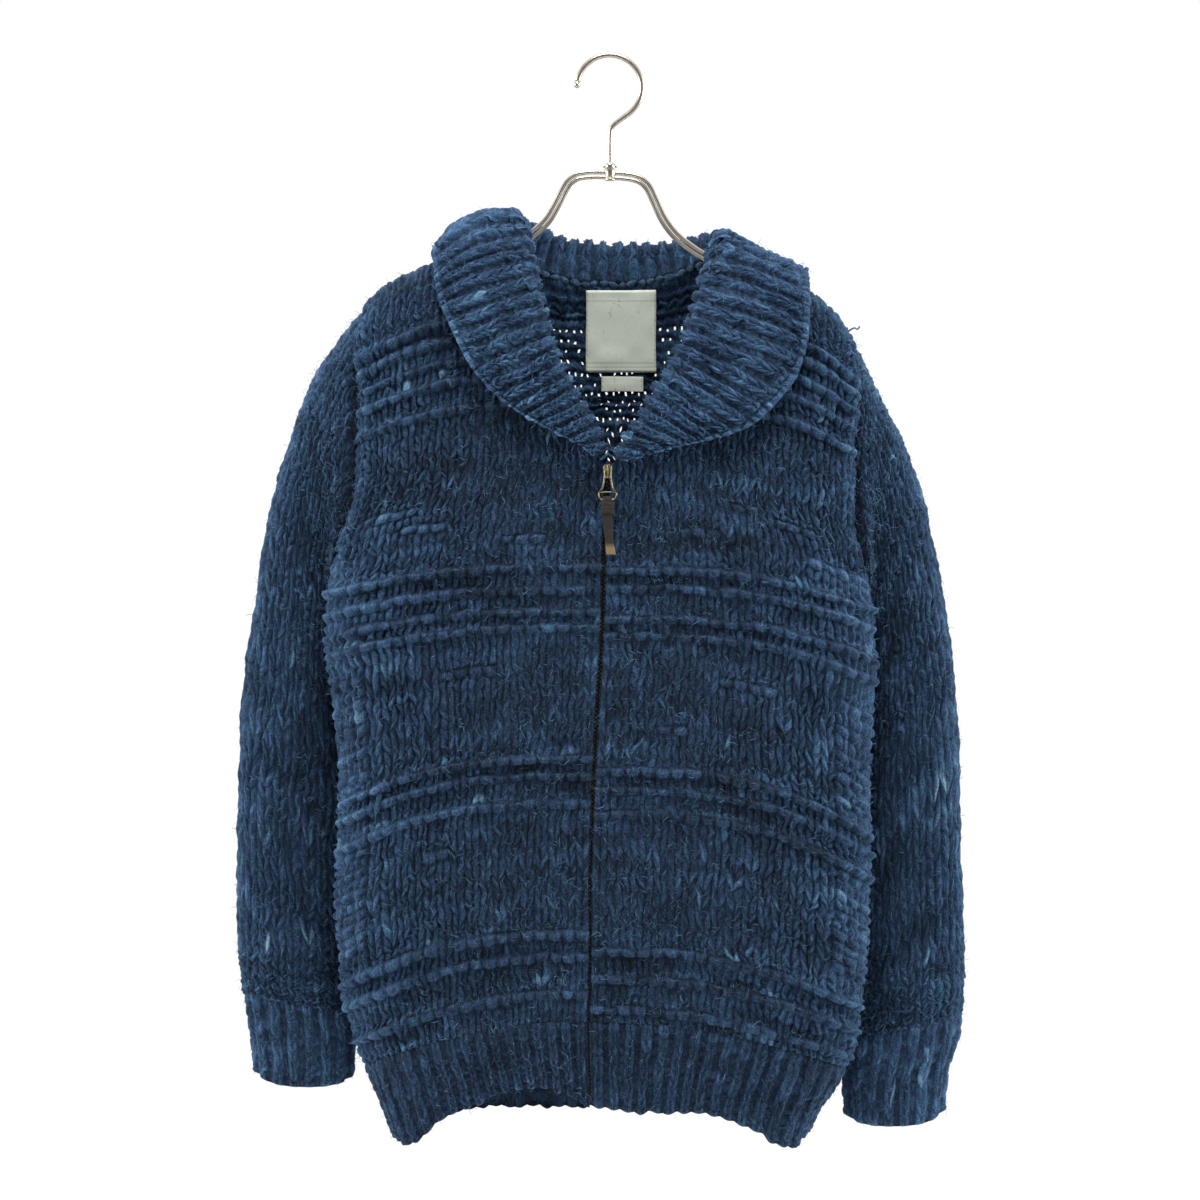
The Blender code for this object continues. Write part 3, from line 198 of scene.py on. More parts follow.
def back_row(side, u, row):
    """Down to a point of the back, u from its middle (0) to the side (1)."""
    share = neck_share(side)
    top = np.where(
        u >= share, shoulder_line(side, (u - share) / (1 - share)),
        mix(BACK_NECK, NECK_POINT, np.minimum(u / share, 1) ** NECK_CURVE),
    )
    climb = (BACK_YOKE - row) / (BACK_YOKE - BACK_NECK)
    climb = np.where(u >= share, np.minimum(climb, 1), climb)
    yoke = mix(BACK_YOKE + droop(side, V_POINT, u), top, climb)
    rib_top = RIB_TOP + droop(side, RIB_TOP, u)
    rib = mix(rib_top, read(HEM_BACK, u), (row - RIB_TOP) / (HEM - RIB_TOP))
    body = np.where(row <= RIB_TOP, row + droop(side, row, u), rib)
    return np.where(row < BACK_YOKE, yoke, body)


def back_at(across, row):
    """Points of the back's outer surface, across from -1 to 1 along the cloth."""
    across, row = np.broadcast_arrays(np.asarray(across, float), np.asarray(row, float))
    points = np.zeros(across.shape + (3,))
    for side in (-1, 1):
        mine = across < 0 if side < 0 else across >= 0
        a, r = np.abs(across[mine]), row[mine]
        one = np.ones_like(r)
        middle = read(ZIP_LINE, r) * clamp((r - BACK_YOKE) / 300)
        edge = side_edge(side, back_row(side, one, r))
        width = np.abs(edge - middle)
        length = width - SIDE_FOLD + SIDE_FOLD_ARC
        x = edge - side * across_fold((1 - a) * length)
        u = clamp((x - middle) / (edge - middle))
        down = back_row(side, u, r)
        fold_y = armhole_depth(side, back_row(side, one, r), 1) + SEAM / 2
        y = mix(fold_y, read(DEPTH, down, 2), rounded(np.abs(edge - x) / SIDE_FOLD))
        neck_y = read(DEPTH, BACK_NECK, 2) * np.sqrt(clamp(1 - (u / neck_share(side)) ** 2))
        over = down - back_row(side, u, BACK_NECK * one)
        y = np.where(neck_y < y, mix(neck_y + SEAM / 2, y, rounded(over / SHOULDER_FOLD)), y)
        points[mine] = np.stack([x, y, -down], -1)
    return points


def seam_plane(side, edge_down):
    """Y of the seam that front and back meet at: the side seam, or the shoulder's."""
    return np.where(edge_down > UNDERARM[side], SIDE_SEAM_DEPTH, 0.0)


def back_clear(points, across, row):
    """Keeps moved points of the back behind its seams."""
    for side in (-1, 1):
        mine = across < 0 if side < 0 else across >= 0
        limit = seam_plane(side, back_row(side, np.ones(mine.sum()), row[mine])) + SEAM / 2
        points[mine, 1] = np.maximum(points[mine, 1], limit)
    return points


def uneven(seed, a, b, size):
    """A smooth random field from -1 to 1 over a and b, with bumps of the given size."""
    lattice = np.random.RandomState(seed).uniform(-1, 1, (97, 89))
    a, b = np.asarray(a) / size + 31, np.asarray(b) / size + 17
    i, j = np.floor(a).astype(int), np.floor(b).astype(int)
    s, t = eased(a - i), eased(b - j)
    corner = [[lattice[(i + p) % 97, (j + q) % 89] for q in (0, 1)] for p in (0, 1)]
    return mix(mix(corner[0][0], corner[0][1], t), mix(corner[1][0], corner[1][1], t), s)


def yarn_tones(rows, legs, seed):
    """Tone of the space-dyed yarn in each leg: it changes slowly as it runs along a row."""
    chance = np.random.RandomState(seed)
    tones = np.zeros((rows, legs))
    bands = chance.normal(0, TONE_OF_ROWS, rows)
    for row in range(rows):
        run = np.zeros(legs)
        value = chance.normal(0, 0.08)
        for leg in range(legs):
            value = TONE_KEPT * value + chance.normal(0, TONE_OF_LEGS)
            run[leg] = value
        for start in np.flatnonzero(chance.uniform(0, 1, legs) < BRIGHT_LEGS):
            end = start + 1 + int(chance.uniform() < 0.2)
            run[start:end] += 0.1 + 0.32 * chance.uniform() ** 2
        tones[row] = TONE + bands[row] + run
    return np.clip(tones, 0.02, 1)


def stitches(purl, seed, slant=1.3, leg_points=4, row_points=4, jitter=0.14, cleft=0.86):
    """Points of knitted cloth: place in stitches and rows, height of the yarn, and its tone.

    A plain stitch is a V of two steep legs, so each line of points drops by slant rows at the
    middle of its stitch, where cleft parts the legs. A purl stitch is one oval bump across it.
    """
    rows, count = purl.shape
    chance = np.random.RandomState(seed + 7)
    beside = np.zeros((rows + 1, count), bool)
    beside[1:-1] = purl[:-1] | purl[1:]
    unequal = 1 + SLACK * chance.normal(0, 1, beside.shape).clip(-2, 2)
    lines = np.where(beside, PURL_SLANT, slant) * unequal
    lines[0] = lines[-1] = 0
    for row in range(1, rows + 1):
        lines[row] = np.minimum(lines[row], lines[row - 1] + LINE_STEP)
    for row in range(rows - 1, -1, -1):
        lines[row] = np.minimum(lines[row], lines[row + 1] + LINE_STEP)
    wide = 2 * leg_points
    i, j = np.arange(count * wide + 1), np.arange(rows * row_points + 1)
    cell_i, cell_j = np.minimum(i // wide, count - 1), np.minimum(j // row_points, rows - 1)
    f = (i - cell_i * wide) / wide
    s = ((j - cell_j * row_points) / row_points)[:, None]
    half = 2 * f - np.minimum(np.floor(2 * f), 1)
    across = np.repeat((i / wide)[None], len(j), 0)
    point, arc = 1 - np.abs(2 * f - 1), np.sin(math.pi * f)
    upper = lines[cell_j][:, cell_i] * np.where(beside[cell_j][:, cell_i], arc, point)
    lower = lines[cell_j + 1][:, cell_i] * np.where(beside[cell_j + 1][:, cell_i], arc, point)
    along = (j / row_points)[:, None] + mix(upper, lower, s)
    is_purl = purl[cell_j][:, cell_i]
    ring = np.sin(math.pi * s).clip(0)
    inward = (2 * half - 1) * np.where(f < 0.5, 1, -1) > 0
    parted = np.where(inward, cleft, 0.86) * np.abs(2 * half - 1) ** 2.3
    leg = (0.42 + 0.58 * ring ** 0.7) * (1 - parted)
    oval = 1 - 1.1 * np.abs(2 * f - 1) ** 2.0 - np.abs(2 * s - 1) ** 2.2
    loop = 1.4 * np.sqrt(np.clip(oval, 0.05, 1))
    tones = yarn_tones(rows, 2 * count, seed)
    leg_i = np.minimum((i * 2) // wide, 2 * count - 1)
    yarn_i = np.where(is_purl, 2 * cell_i, leg_i)
    tone = tones[cell_j[:, None], yarn_i]
    # painted light: a purl bump's tone is lighter on its raised middle and darker toward its edges,
    # and capped
    painted_bump_shade = np.minimum(tone, 0.58) + 0.12 * np.clip(loop - 0.85, -0.3, 0.6)
    tone = np.where(is_purl, painted_bump_shade, tone)
    slub = np.arange(2 * count)[None] + np.zeros((rows, 1)), 9.0 * np.arange(rows)[:, None]
    fat = 1 + SLACK * chance.normal(0, 1, tones.shape).clip(-2, 2)
    fat = fat + 0.14 * uneven(seed + 4, *slub, 4.5)
    height = np.where(is_purl, loop, leg) * fat[cell_j[:, None], yarn_i]
    still = np.minimum(np.minimum(across, count - across), np.minimum(along, rows - along))
    still = jitter * clamp(still)
    across = across + still * (
        1.1 * uneven(seed + 2, across, along, 1.3) + 0.8 * uneven(seed + 8, across, along, 0.6)
    )
    along = along + still * (
        1.3 * uneven(seed + 3, across, along, 1.5) + 1.0 * uneven(seed + 9, across, along, 0.7)
    )
    fibre = np.stack(np.broadcast_arrays(
        (i / leg_points)[None], (j / row_points)[:, None], 0.37 * seed), -1)
    return {
        "across": across, "along": along, "height": height, "tone": tone, "purl": is_purl,
        "fibre": fibre, "block": (row_points, wide),
    }


def ridge_rows(top, bottom, rows, ridges):
    """Place of each line between rows, so that the purl ridges fall where they should."""
    purls, lines, places = [], [0], [top]
    for ridge in sorted(ridges):
        row = int(round((ridge - top) / (bottom - top) * rows - 0.5))
        row = max(row, (purls[-1] + 1) if purls else 1)
        purls.append(row)
        lines.append(row + 0.5)
        places.append(ridge)
    lines.append(rows)
    places.append(bottom)
    return purls, np.array(lines), np.array(places)


def away(facing, upward):
    """Directions out of the body on its front (-1) or back (1), turning sideways at its sides."""
    def outward(points):
        x = points[..., 0]
        return np.stack([x / 110, facing + 0 * x, upward + 0 * x], -1)

    return outward


def grid_normals(points):
    """Unit normals of a grid of points."""
    normals = np.cross(np.gradient(points, axis=1), np.gradient(points, axis=0))
    return normals / np.maximum(np.linalg.norm(normals, axis=-1, keepdims=True), 1e-9)


def unit_normals(points, outward):
    """Unit normals of a grid of points, turned to the side that outward points to."""
    normals = grid_normals(points)
    turned = np.sum(normals * outward, axis=-1, keepdims=True)
    return np.where(turned < 0, -normals, normals)


def placed(name, data):
    """An object made of a mesh, lamp or camera, in the scene."""
    made = bpy.data.objects.new(name, data)
    bpy.context.scene.collection.objects.link(made)
    return made


def knit_mesh(name, outer, inner, keep, block, fine_inside, facts, material, wrap=False):
    """A closed shell: fine outside, one face to a stitch inside except where it shows.

    keep says which faces of the grid exist. A rim joins outside and inside round every edge
    and hole of it. With wrap the last column of points is the first one again.
    """
    rows, columns = keep.shape
    count = outer.shape[0] * outer.shape[1]
    index = np.arange(count).reshape(outer.shape[:2])
    if wrap:
        index[:, -1] = index[:, 0]
    quads = np.stack([index[:-1, :-1], index[:-1, 1:], index[1:, 1:], index[1:, :-1]], -1)
    faces = [list(q) for q in quads[keep]]
    deep = index + count
    height, width = block
    full = np.zeros((rows // height, columns // width), bool)
    for i in range(full.shape[0]):
        for j in range(full.shape[1]):
            part = (slice(i * height, (i + 1) * height), slice(j * width, (j + 1) * width))
            full[i, j] = keep[part].all() and not fine_inside[part].any()
    for i in range(full.shape[0]):
        for j in range(full.shape[1]):
            r0, r1, c0, c1 = i * height, (i + 1) * height, j * width, (j + 1) * width
            if not full[i, j]:
                for r in range(r0, r1):
                    for c in range(c0, c1):
                        if keep[r, c]:
                            lower = (deep[r + 1, c], deep[r + 1, c + 1])
                            faces.append([deep[r, c], *lower, deep[r, c + 1]])
                continue
            left = full[i, j - 1] if j or wrap else False
            last = j + 1 == full.shape[1]
            right = False if last and not wrap else full[i, (j + 1) % full.shape[1]]
            above = full[i - 1, j] if i else False
            below = full[i + 1, j] if i + 1 < full.shape[0] else False
            loop = [deep[r, c0] for r in range(r0, r1, height if left else 1)]
            loop += [deep[r1, c] for c in range(c0, c1, width if below else 1)]
            loop += [deep[r, c1] for r in range(r1, r0, -height if right else -1)]
            loop += [deep[r0, c] for c in range(c1, c0, -width if above else -1)]
            faces.append(loop)
    rims = []
    padded = np.zeros((rows + 2, columns + 2), bool)
    padded[1:-1, 1:-1] = keep
    if wrap:
        padded[1:-1, 0], padded[1:-1, -1] = keep[:, -1], keep[:, 0]
    for shift_r, shift_c, ends in (
        (0, 1, ((0, 0), (0, 1))), (2, 1, ((1, 1), (1, 0))),
        (1, 0, ((1, 0), (0, 0))), (1, 2, ((0, 1), (1, 1))),
    ):
        bare = keep & ~padded[shift_r:shift_r + rows, shift_c:shift_c + columns]
        for r, c in np.argwhere(bare):
            a = index[r + ends[0][0], c + ends[0][1]]
            b = index[r + ends[1][0], c + ends[1][1]]
            rims.append([b, a, a + count, b + count])
    faces += rims
    vertices = np.concatenate([outer.reshape(-1, 3), inner.reshape(-1, 3)]) * MM
    used = np.zeros(len(vertices), bool)
    for face in faces:
        used[face] = True
    number = np.cumsum(used) - 1
    mesh = bpy.data.meshes.new(name)
    faces = [[int(number[corner]) for corner in face] for face in faces]
    mesh.from_pydata(vertices[used].tolist(), [], faces)
    for label, values in facts.items():
        both = np.concatenate([part.reshape(count, -1) for part in values])[used]
        kind = "FLOAT_VECTOR" if both.shape[1] == 3 else "FLOAT"
        stored = mesh.attributes.new(label, kind, "POINT")
        stored.data.foreach_set("vector" if kind == "FLOAT_VECTOR" else "value", both.ravel())
    mesh.materials.append(material)
    mesh.shade_smooth()
    mesh.validate()
    return placed(name, mesh)


def facing_out(made):
    """Turns the faces of a closed mesh outward."""
    shape = bmesh.new()
    shape.from_mesh(made.data)
    bmesh.ops.recalc_face_normals(shape, faces=shape.faces)
    if shape.calc_volume(signed=True) < 0:
        bmesh.ops.reverse_faces(shape, faces=shape.faces)
    shape.to_mesh(made.data)
    shape.free()
    return made


def rounded_rim(distance):
    """How far the two skins of the cloth draw together at this distance from its edge."""
    reach = KNIT / 2
    near = clamp(1 - distance / reach)
    return reach * (1 - np.sqrt(1 - near ** 2))


def knit_cloth(
    name, cloth, place, outward, lift, material, keep=None, clear=None, inside=None,
    inside_yarn=None, fine_inside=None, wrap=False, relief=3.6, rim=None,
):
    """Cloth on a surface: yarn raised outside, and inside where the inside shows."""
    base = place(cloth["across"], cloth["along"])
    if wrap:
        base[:, -1] = base[:, 0]
    normals = unit_normals(base, outward(base))
    if wrap:
        strip = np.concatenate([base[:, -3:-1], base[:, :3]], 1)
        normals[:, 0] = normals[:, -1] = unit_normals(strip, outward(strip))[:, 2]
    up = relief * (cloth["height"] - 0.55) + lift
    if wrap:
        up[:, -1] = up[:, 0]
    down = -KNIT * np.ones_like(up) + (inside if inside is not None else 0)
    if rim is not None:
        close = rounded_rim(rim)
        up, down = up - close, down + close
    outer = base + up[..., None] * normals
    inner = base + down[..., None] * normals
    if clear is not None:
        outer = clear(outer, cloth["across"], cloth["along"])
        inner = clear(inner, cloth["across"], cloth["along"])
    rows, columns = base.shape[0] - 1, base.shape[1] - 1
    keep = np.ones((rows, columns), bool) if keep is None else keep
    fine_inside = np.zeros((rows, columns), bool) if fine_inside is None else fine_inside
    # the yarn height also sets the material's painted shade where the yarn is low
    yarn = np.clip(cloth["height"], 0, 1.2)
    facts = {
        "fibre": [cloth["fibre"]] * 2, "tone": [cloth["tone"]] * 2,
        "yarn": [yarn, inside_yarn if inside_yarn is not None else 0.55 + 0 * yarn],
    }
    return facing_out(
        knit_mesh(name, outer, inner, keep, cloth["block"], fine_inside, facts, material, wrap)
    )


def graph(owner):
    """Nodes of a material or world, with one function that adds a node and one that fills it."""
    owner.use_nodes = True
    nodes, links = owner.node_tree.nodes, owner.node_tree.links

    def fill(node, sockets):
        for socket, value in sockets.items():
            if isinstance(value, bpy.types.NodeSocket):
                links.new(value, node.inputs[socket])
            else:
                node.inputs[socket].default_value = value

    def add(kind, sockets, **settings):
        node = nodes.new("ShaderNode" + kind)
        for setting, value in settings.items():
            setattr(node, setting, value)
        fill(node, sockets)
        return node

    return nodes, add, fill


def wool(name, dark, middle, light, bright, violet):
    """Space-dyed roving: soft fibres along each leg, mottled, with painted shade darkening the
    colour between the legs and wherever the stored yarn height is low. The stored tone also carries
    painted light and shade laid on some pieces.
    """
    material = bpy.data.materials.new(name)
    nodes, add, fill = graph(material)

    def stored(label):
        return add("Attribute", {}, attribute_name=label).outputs

    def noise(vector, scale, detail):
        sockets = {"Scale": scale, "Detail": detail, "Roughness": 0.6, "Vector": vector}
        return add("TexNoise", sockets).outputs["Fac"]

    def weighed(value, amount, plus):
        sockets = {0: value, 1: amount, 2: plus}
        return add("Math", sockets, operation="MULTIPLY_ADD").outputs["Value"]

    def ranged(value, low, high, to_low, to_high):
        sockets = {"From Min": low, "From Max": high, "To Min": to_low, "To Max": to_high}
        return add("MapRange", {**sockets, "Value": value}).outputs["Result"]

    def mixed(factor, first, second, how="MIX"):
        sockets = {"Factor": factor, "A": first, "B": second}
        return add("Mix", sockets, data_type="RGBA", blend_type=how).outputs["Result"]

    place = add("TexCoord", {}).outputs["Object"]
    stretch = add(
        "VectorMath", {0: stored("fibre")["Vector"], 1: (3.4, 1.5, 1.0)}, operation="MULTIPLY",
    )
    strands = noise(stretch.outputs["Vector"], 1.0, 6.0)
    grain = noise(place, 620.0, 5.0)
    patches = noise(place, 26.0, 3.0)
    value = weighed(strands, 0.85, -0.425)
    value = weighed(grain, 1.05, weighed(value, 1.0, -0.535))
    value = weighed(patches, 0.3, weighed(value, 1.0, -0.15))
    total = add("Math", {0: value, 1: stored("tone")["Fac"]}, operation="ADD").outputs["Value"]
    ramp = add("ValToRGB", {"Fac": total})
    stops = ramp.color_ramp.elements
    stops[0].position, stops[0].color = 0.05, (*dark, 1)
    stops[1].position, stops[1].color = 0.98, (*bright, 1)
    for position, colour in ((0.36, middle), (0.64, light)):
        stops.new(position).color = (*colour, 1)
    # the ramp's colour also carries the painted light and shade added to the stored tone
    dyed = ramp.outputs["Color"]
    hue = ranged(noise(place, 200.0, 4.0), 0.47, 0.62, 0.0, 0.9)
    colour = mixed(hue, dyed, mixed(1.0, dyed, (*violet, 1), "MULTIPLY"))
    # painted shade: the colour is darkened where the yarn is low, between the legs and in sunken
    # columns
    painted_hollow_shade = ranged(stored("yarn")["Fac"], 0.02, 0.7, 0.5, 1.0)
    fuzz = weighed(grain, 0.5, strands)
    bump = add("Bump", {"Strength": 0.8, "Distance": 0.0014, "Height": fuzz})
    fill(nodes["Principled BSDF"], {
        "Roughness": 0.95, "Specular IOR Level": 0.12, "Sheen Weight": 0.13,
        "Sheen Roughness": 0.5, "Sheen Tint": (0.45, 0.62, 0.85, 1),
        "Base Color": mixed(1.0, colour, painted_hollow_shade, "MULTIPLY"), "Normal": bump.outputs["Normal"],
    })
    return material


INDIGO = wool(
    "indigo wool", dark=(0.0030, 0.0080, 0.0155), middle=(0.0125, 0.0345, 0.0680),
    light=(0.0340, 0.0880, 0.1520), bright=(0.130, 0.260, 0.310), violet=(1.35, 0.86, 1.12),
)

RIDGES_BACK = (222, 240, 258, 275, 296, 430, 446, 467, 481, 590, 606, 628, 740, 760, 788)
BACK_STITCHES = 40
BACK_ROWS = 75
BACK_CREASES = (
    (-150, 470, -40, 640, 5, 26), (150, 500, 60, 700, 4.5, 28), (-120, 700, -30, 790, 4, 24),
    (20, 330, 90, 520, 3, 30),
)
WINDOW = ((-92, 100), (184, 352))   # x and down of the loose knitting that light shows through


def lift_at(row, points, ridges):
    """How far the cloth stands out along its purl ridges: most at the sides, and unevenly."""
    nearest = np.min(np.abs(row[..., None] - np.array(ridges, float)), axis=-1)
    strong = 0.9 + 1.0 * clamp(np.abs(points[..., 0]) / 190)
    strong = strong + 0.35 * uneven(19, points[..., 0], row, 17)
    near = clamp(nearest / RIDGE_REACH)
    return strong * RIDGE * (0.5 + 0.5 * np.cos(math.pi * near))


def creases(points, table):
    """Soft folds: each row of the table is x, down, x, down, height and half width."""
    total = np.zeros(points.shape[:-1])
    for x0, d0, x1, d1, height, width in table:
        start, end = np.array((x0, -d0), float), np.array((x1, -d1), float)
        run = end - start
        flat = points[..., (0, 2)] - start
        t = clamp(flat @ run / (run @ run))
        apart = np.linalg.norm(flat - t[..., None] * run, axis=-1)
        fade = np.sin(math.pi * clamp(t * 0.94 + 0.03)) ** 0.5
        total += height * fade * bell(apart, width)
    return total


def make_back():
    purls, lines, places = ridge_rows(BACK_NECK - 3.5, RIB_TOP - SEAM, BACK_ROWS, RIDGES_BACK)
    purl = np.zeros((BACK_ROWS, BACK_STITCHES), bool)
    purl[purls] = True
    cloth = stitches(purl, 11, leg_points=3, row_points=3)
    cloth["along"] = np.interp(cloth["along"], lines, places)
    cloth["across"] = cloth["across"] / BACK_STITCHES * 2 - 1
    points = back_at(cloth["across"], cloth["along"])
    to_seam = eased(clamp((1 - np.abs(cloth["across"])) / 0.2))
    lift = lift_at(cloth["along"], points, RIDGES_BACK) * to_seam
    waves = 2.4 * uneven(5, points[..., 0], points[..., 2], 75)
    lift = lift + to_seam * (waves + creases(points, BACK_CREASES))
    (x0, x1), (d0, d1) = WINDOW
    x, down = points[..., 0], -points[..., 2]
    seen = (x > x0) & (x < x1) & (down > d0) & (down < d1)
    seen_face = seen[:-1, :-1] & seen[1:, 1:]
    wide = cloth["block"][1]
    i = np.arange(cloth["across"].shape[1])
    f = (i % wide) / wide
    s = (np.arange(cloth["across"].shape[0]) % cloth["block"][0]) / cloth["block"][0]
    wave = 0.5 + 0.24 * np.cos(2 * math.pi * f)[None]
    loop = bell((s[:, None] - wave + 0.5) % 1 - 0.5, 0.22)
    loop = loop * (1 + 0.25 * uneven(13, points[..., 0], points[..., 2], 7))
    inside = -3.4 * np.where(seen, loop - 0.45, 0)
    keep = np.ones(seen_face.shape, bool)
    chance = np.random.RandomState(77)
    for row in range(2, BACK_ROWS):
        for stitch in range(BACK_STITCHES):
            for half in (0, 1):
                r = row * cloth["block"][0]
                c = stitch * wide + half * wide // 2
                within = 0 < r < seen.shape[0] - 1 and 0 < c < seen.shape[1] - 1
                if not within or not seen[r, c]:
                    continue
                likely = 0.66 if down[r, c] > 204 else 0.08
                if chance.uniform() < likely:
                    c -= row % 2
                    keep[r, c] = False
                    corners = (slice(r, r + 2), slice(c, c + 2))
                    shrink = chance.uniform(0.1, 0.35)
                    for key in ("across", "along"):
                        spot = cloth[key][corners]
                        cloth[key][corners] = mix(spot, spot.mean(), shrink)
    beyond = np.abs(points[..., 0]) > 88
    to_edge = np.where(beyond, 20.0, np.minimum(cloth["along"] - BACK_NECK + 4.0, 20))
    lift = lift - np.where(beyond, 1.2 * np.exp(-(cloth["along"] - BACK_NECK).clip(0) / 5), 0)
    # the inside's loop heights, given as its yarn, also set its painted shade between the loops
    return knit_cloth(
        "back", cloth, back_at, away(1, 0.25), lift, INDIGO, keep=keep, clear=back_clear,
        inside=inside, inside_yarn=0.34 + 0.66 * loop, fine_inside=seen_face, rim=to_edge,
        relief=3.4,
    )


back = make_back()
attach(back, "cardigan")
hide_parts("back_panel")

# ------------------------------------------------------------------ fronts
# Two fronts in the same wool, each edged by the zip and cut back along the neckline. Bands of
# purl ridges arch across them, and short purl ladders run down beside the side seams.
RIDGES_FRONT = {
    -1: (219, 234, 251, 268, 291, 428, 446, 465, 478, 587, 601, 624, 733, 751, 782),
    1: (219, 234, 251, 268, 291, 431, 445, 471, 485, 597, 613, 633, 747, 769, 795),
}
FRONT_STITCHES = 20
FRONT_ROWS = 78
FRONT_CLOTH = 240       # width of a front, measured along the cloth
GAPS = (        # down, and width of the gap between the fronts
    (344, 3.6), (420, 3.0), (560, 2.6), (660, 1.8), (760, 1.4), (900, 1.6),
)
HEM_FRONT = {   # share of the way to the side, and down
    -1: (
        (0, 877), (0.14, 865), (0.28, 861), (0.43, 864), (0.6, 876), (0.76, 886),
        (0.87, 903), (0.95, 911), (1, 905),
    ),
    1: (
        (0, 875), (0.08, 878), (0.21, 882), (0.44, 881), (0.6, 887), (0.72, 894),
        (0.84, 907), (0.92, 912), (1, 901),
    ),
}


def front_row(side, u, row):
    """Down to a point of a front, u from the zip or neckline (0) to the side (1)."""
    climb = (V_POINT - row) / (V_POINT - NECK_POINT)
    yoke = mix(V_POINT + droop(side, V_POINT, u), shoulder_line(side, u), climb)
    rib_top = RIB_TOP + droop(side, RIB_TOP, u)
    rib = mix(rib_top, read(HEM_FRONT[side], u), (row - RIB_TOP) / (HEM - RIB_TOP))
    body = np.where(row <= RIB_TOP, row + droop(side, row, u), rib)
    return np.where(row < V_POINT, yoke, body)


def front_place(side):
    def front_at(across, row):
        """Points of a front's outer surface, across from 0 at the zip to 1 at the side."""
        row = np.broadcast_to(np.asarray(row, float), np.shape(across))
        one = np.ones_like(row)
        edge = side_edge(side, front_row(side, one, row))
        middle = read(ZIP_LINE, row) + side * read(GAPS, row) / 2
        length = np.abs(edge - middle) - SIDE_FOLD + SIDE_FOLD_ARC
        x = edge - side * across_fold((1 - across) * length)
        inner = np.where(row < V_POINT, read(NECKLINE[side], row), middle)
        x = side * np.maximum(side * x, side * inner)
        u = clamp((x - inner) / (edge - inner))
        down = front_row(side, u, row)
        fold_y = armhole_depth(side, front_row(side, one, row), -1) - SEAM / 2
        y = mix(fold_y, read(DEPTH, down, 1), rounded(np.abs(edge - x) / SIDE_FOLD))
        over = down - front_row(side, u, NECK_POINT * one)
        y = mix(-SEAM / 2, y, rounded(over / SHOULDER_FOLD))
        return np.stack([x, y, -down], -1)

    return front_at


def front_clear(side):
    def clear(points, across, row):
        """Keeps moved points of a front ahead of its seams."""
        limit = seam_plane(side, front_row(side, np.ones_like(row), row)) - SEAM / 2
        points[..., 1] = np.minimum(points[..., 1], limit)
        return points

    return clear


LADDERS = {     # purl blocks: first and last stitch from the side, first and last row in down
    -1: (
        (0, 3, 500, 580), (0, 3, 626, 712), (9, 12, 508, 524), (13, 15, 402, 408),
        (6, 8, 384, 390), (3, 6, 366, 372), (11, 11, 372, 378), (0, 3, 690, 715),
        (8, 9, 655, 661),
    ),
    1: (
        (0, 3, 504, 590), (0, 3, 636, 724), (8, 11, 512, 530), (12, 14, 396, 402),
        (5, 7, 380, 386), (2, 5, 404, 410), (9, 10, 372, 378), (0, 3, 700, 728),
        (14, 15, 560, 566),
    ),
}
FRONT_CREASES = {
    -1: (
        (-215, 470, -120, 560, 4, 22), (-60, 480, -20, 640, -3, 20),
        (-190, 640, -90, 760, 3.5, 26), (-40, 690, -110, 790, -3, 24),
        (-150, 400, -60, 380, 3, 20),
    ),
    1: (
        (205, 480, 110, 580, 4, 22), (50, 500, 20, 650, -3, 20), (185, 650, 90, 770, 3.5, 26),
        (30, 700, 100, 800, -3, 24), (150, 410, 60, 390, 3, 20),
    ),
}


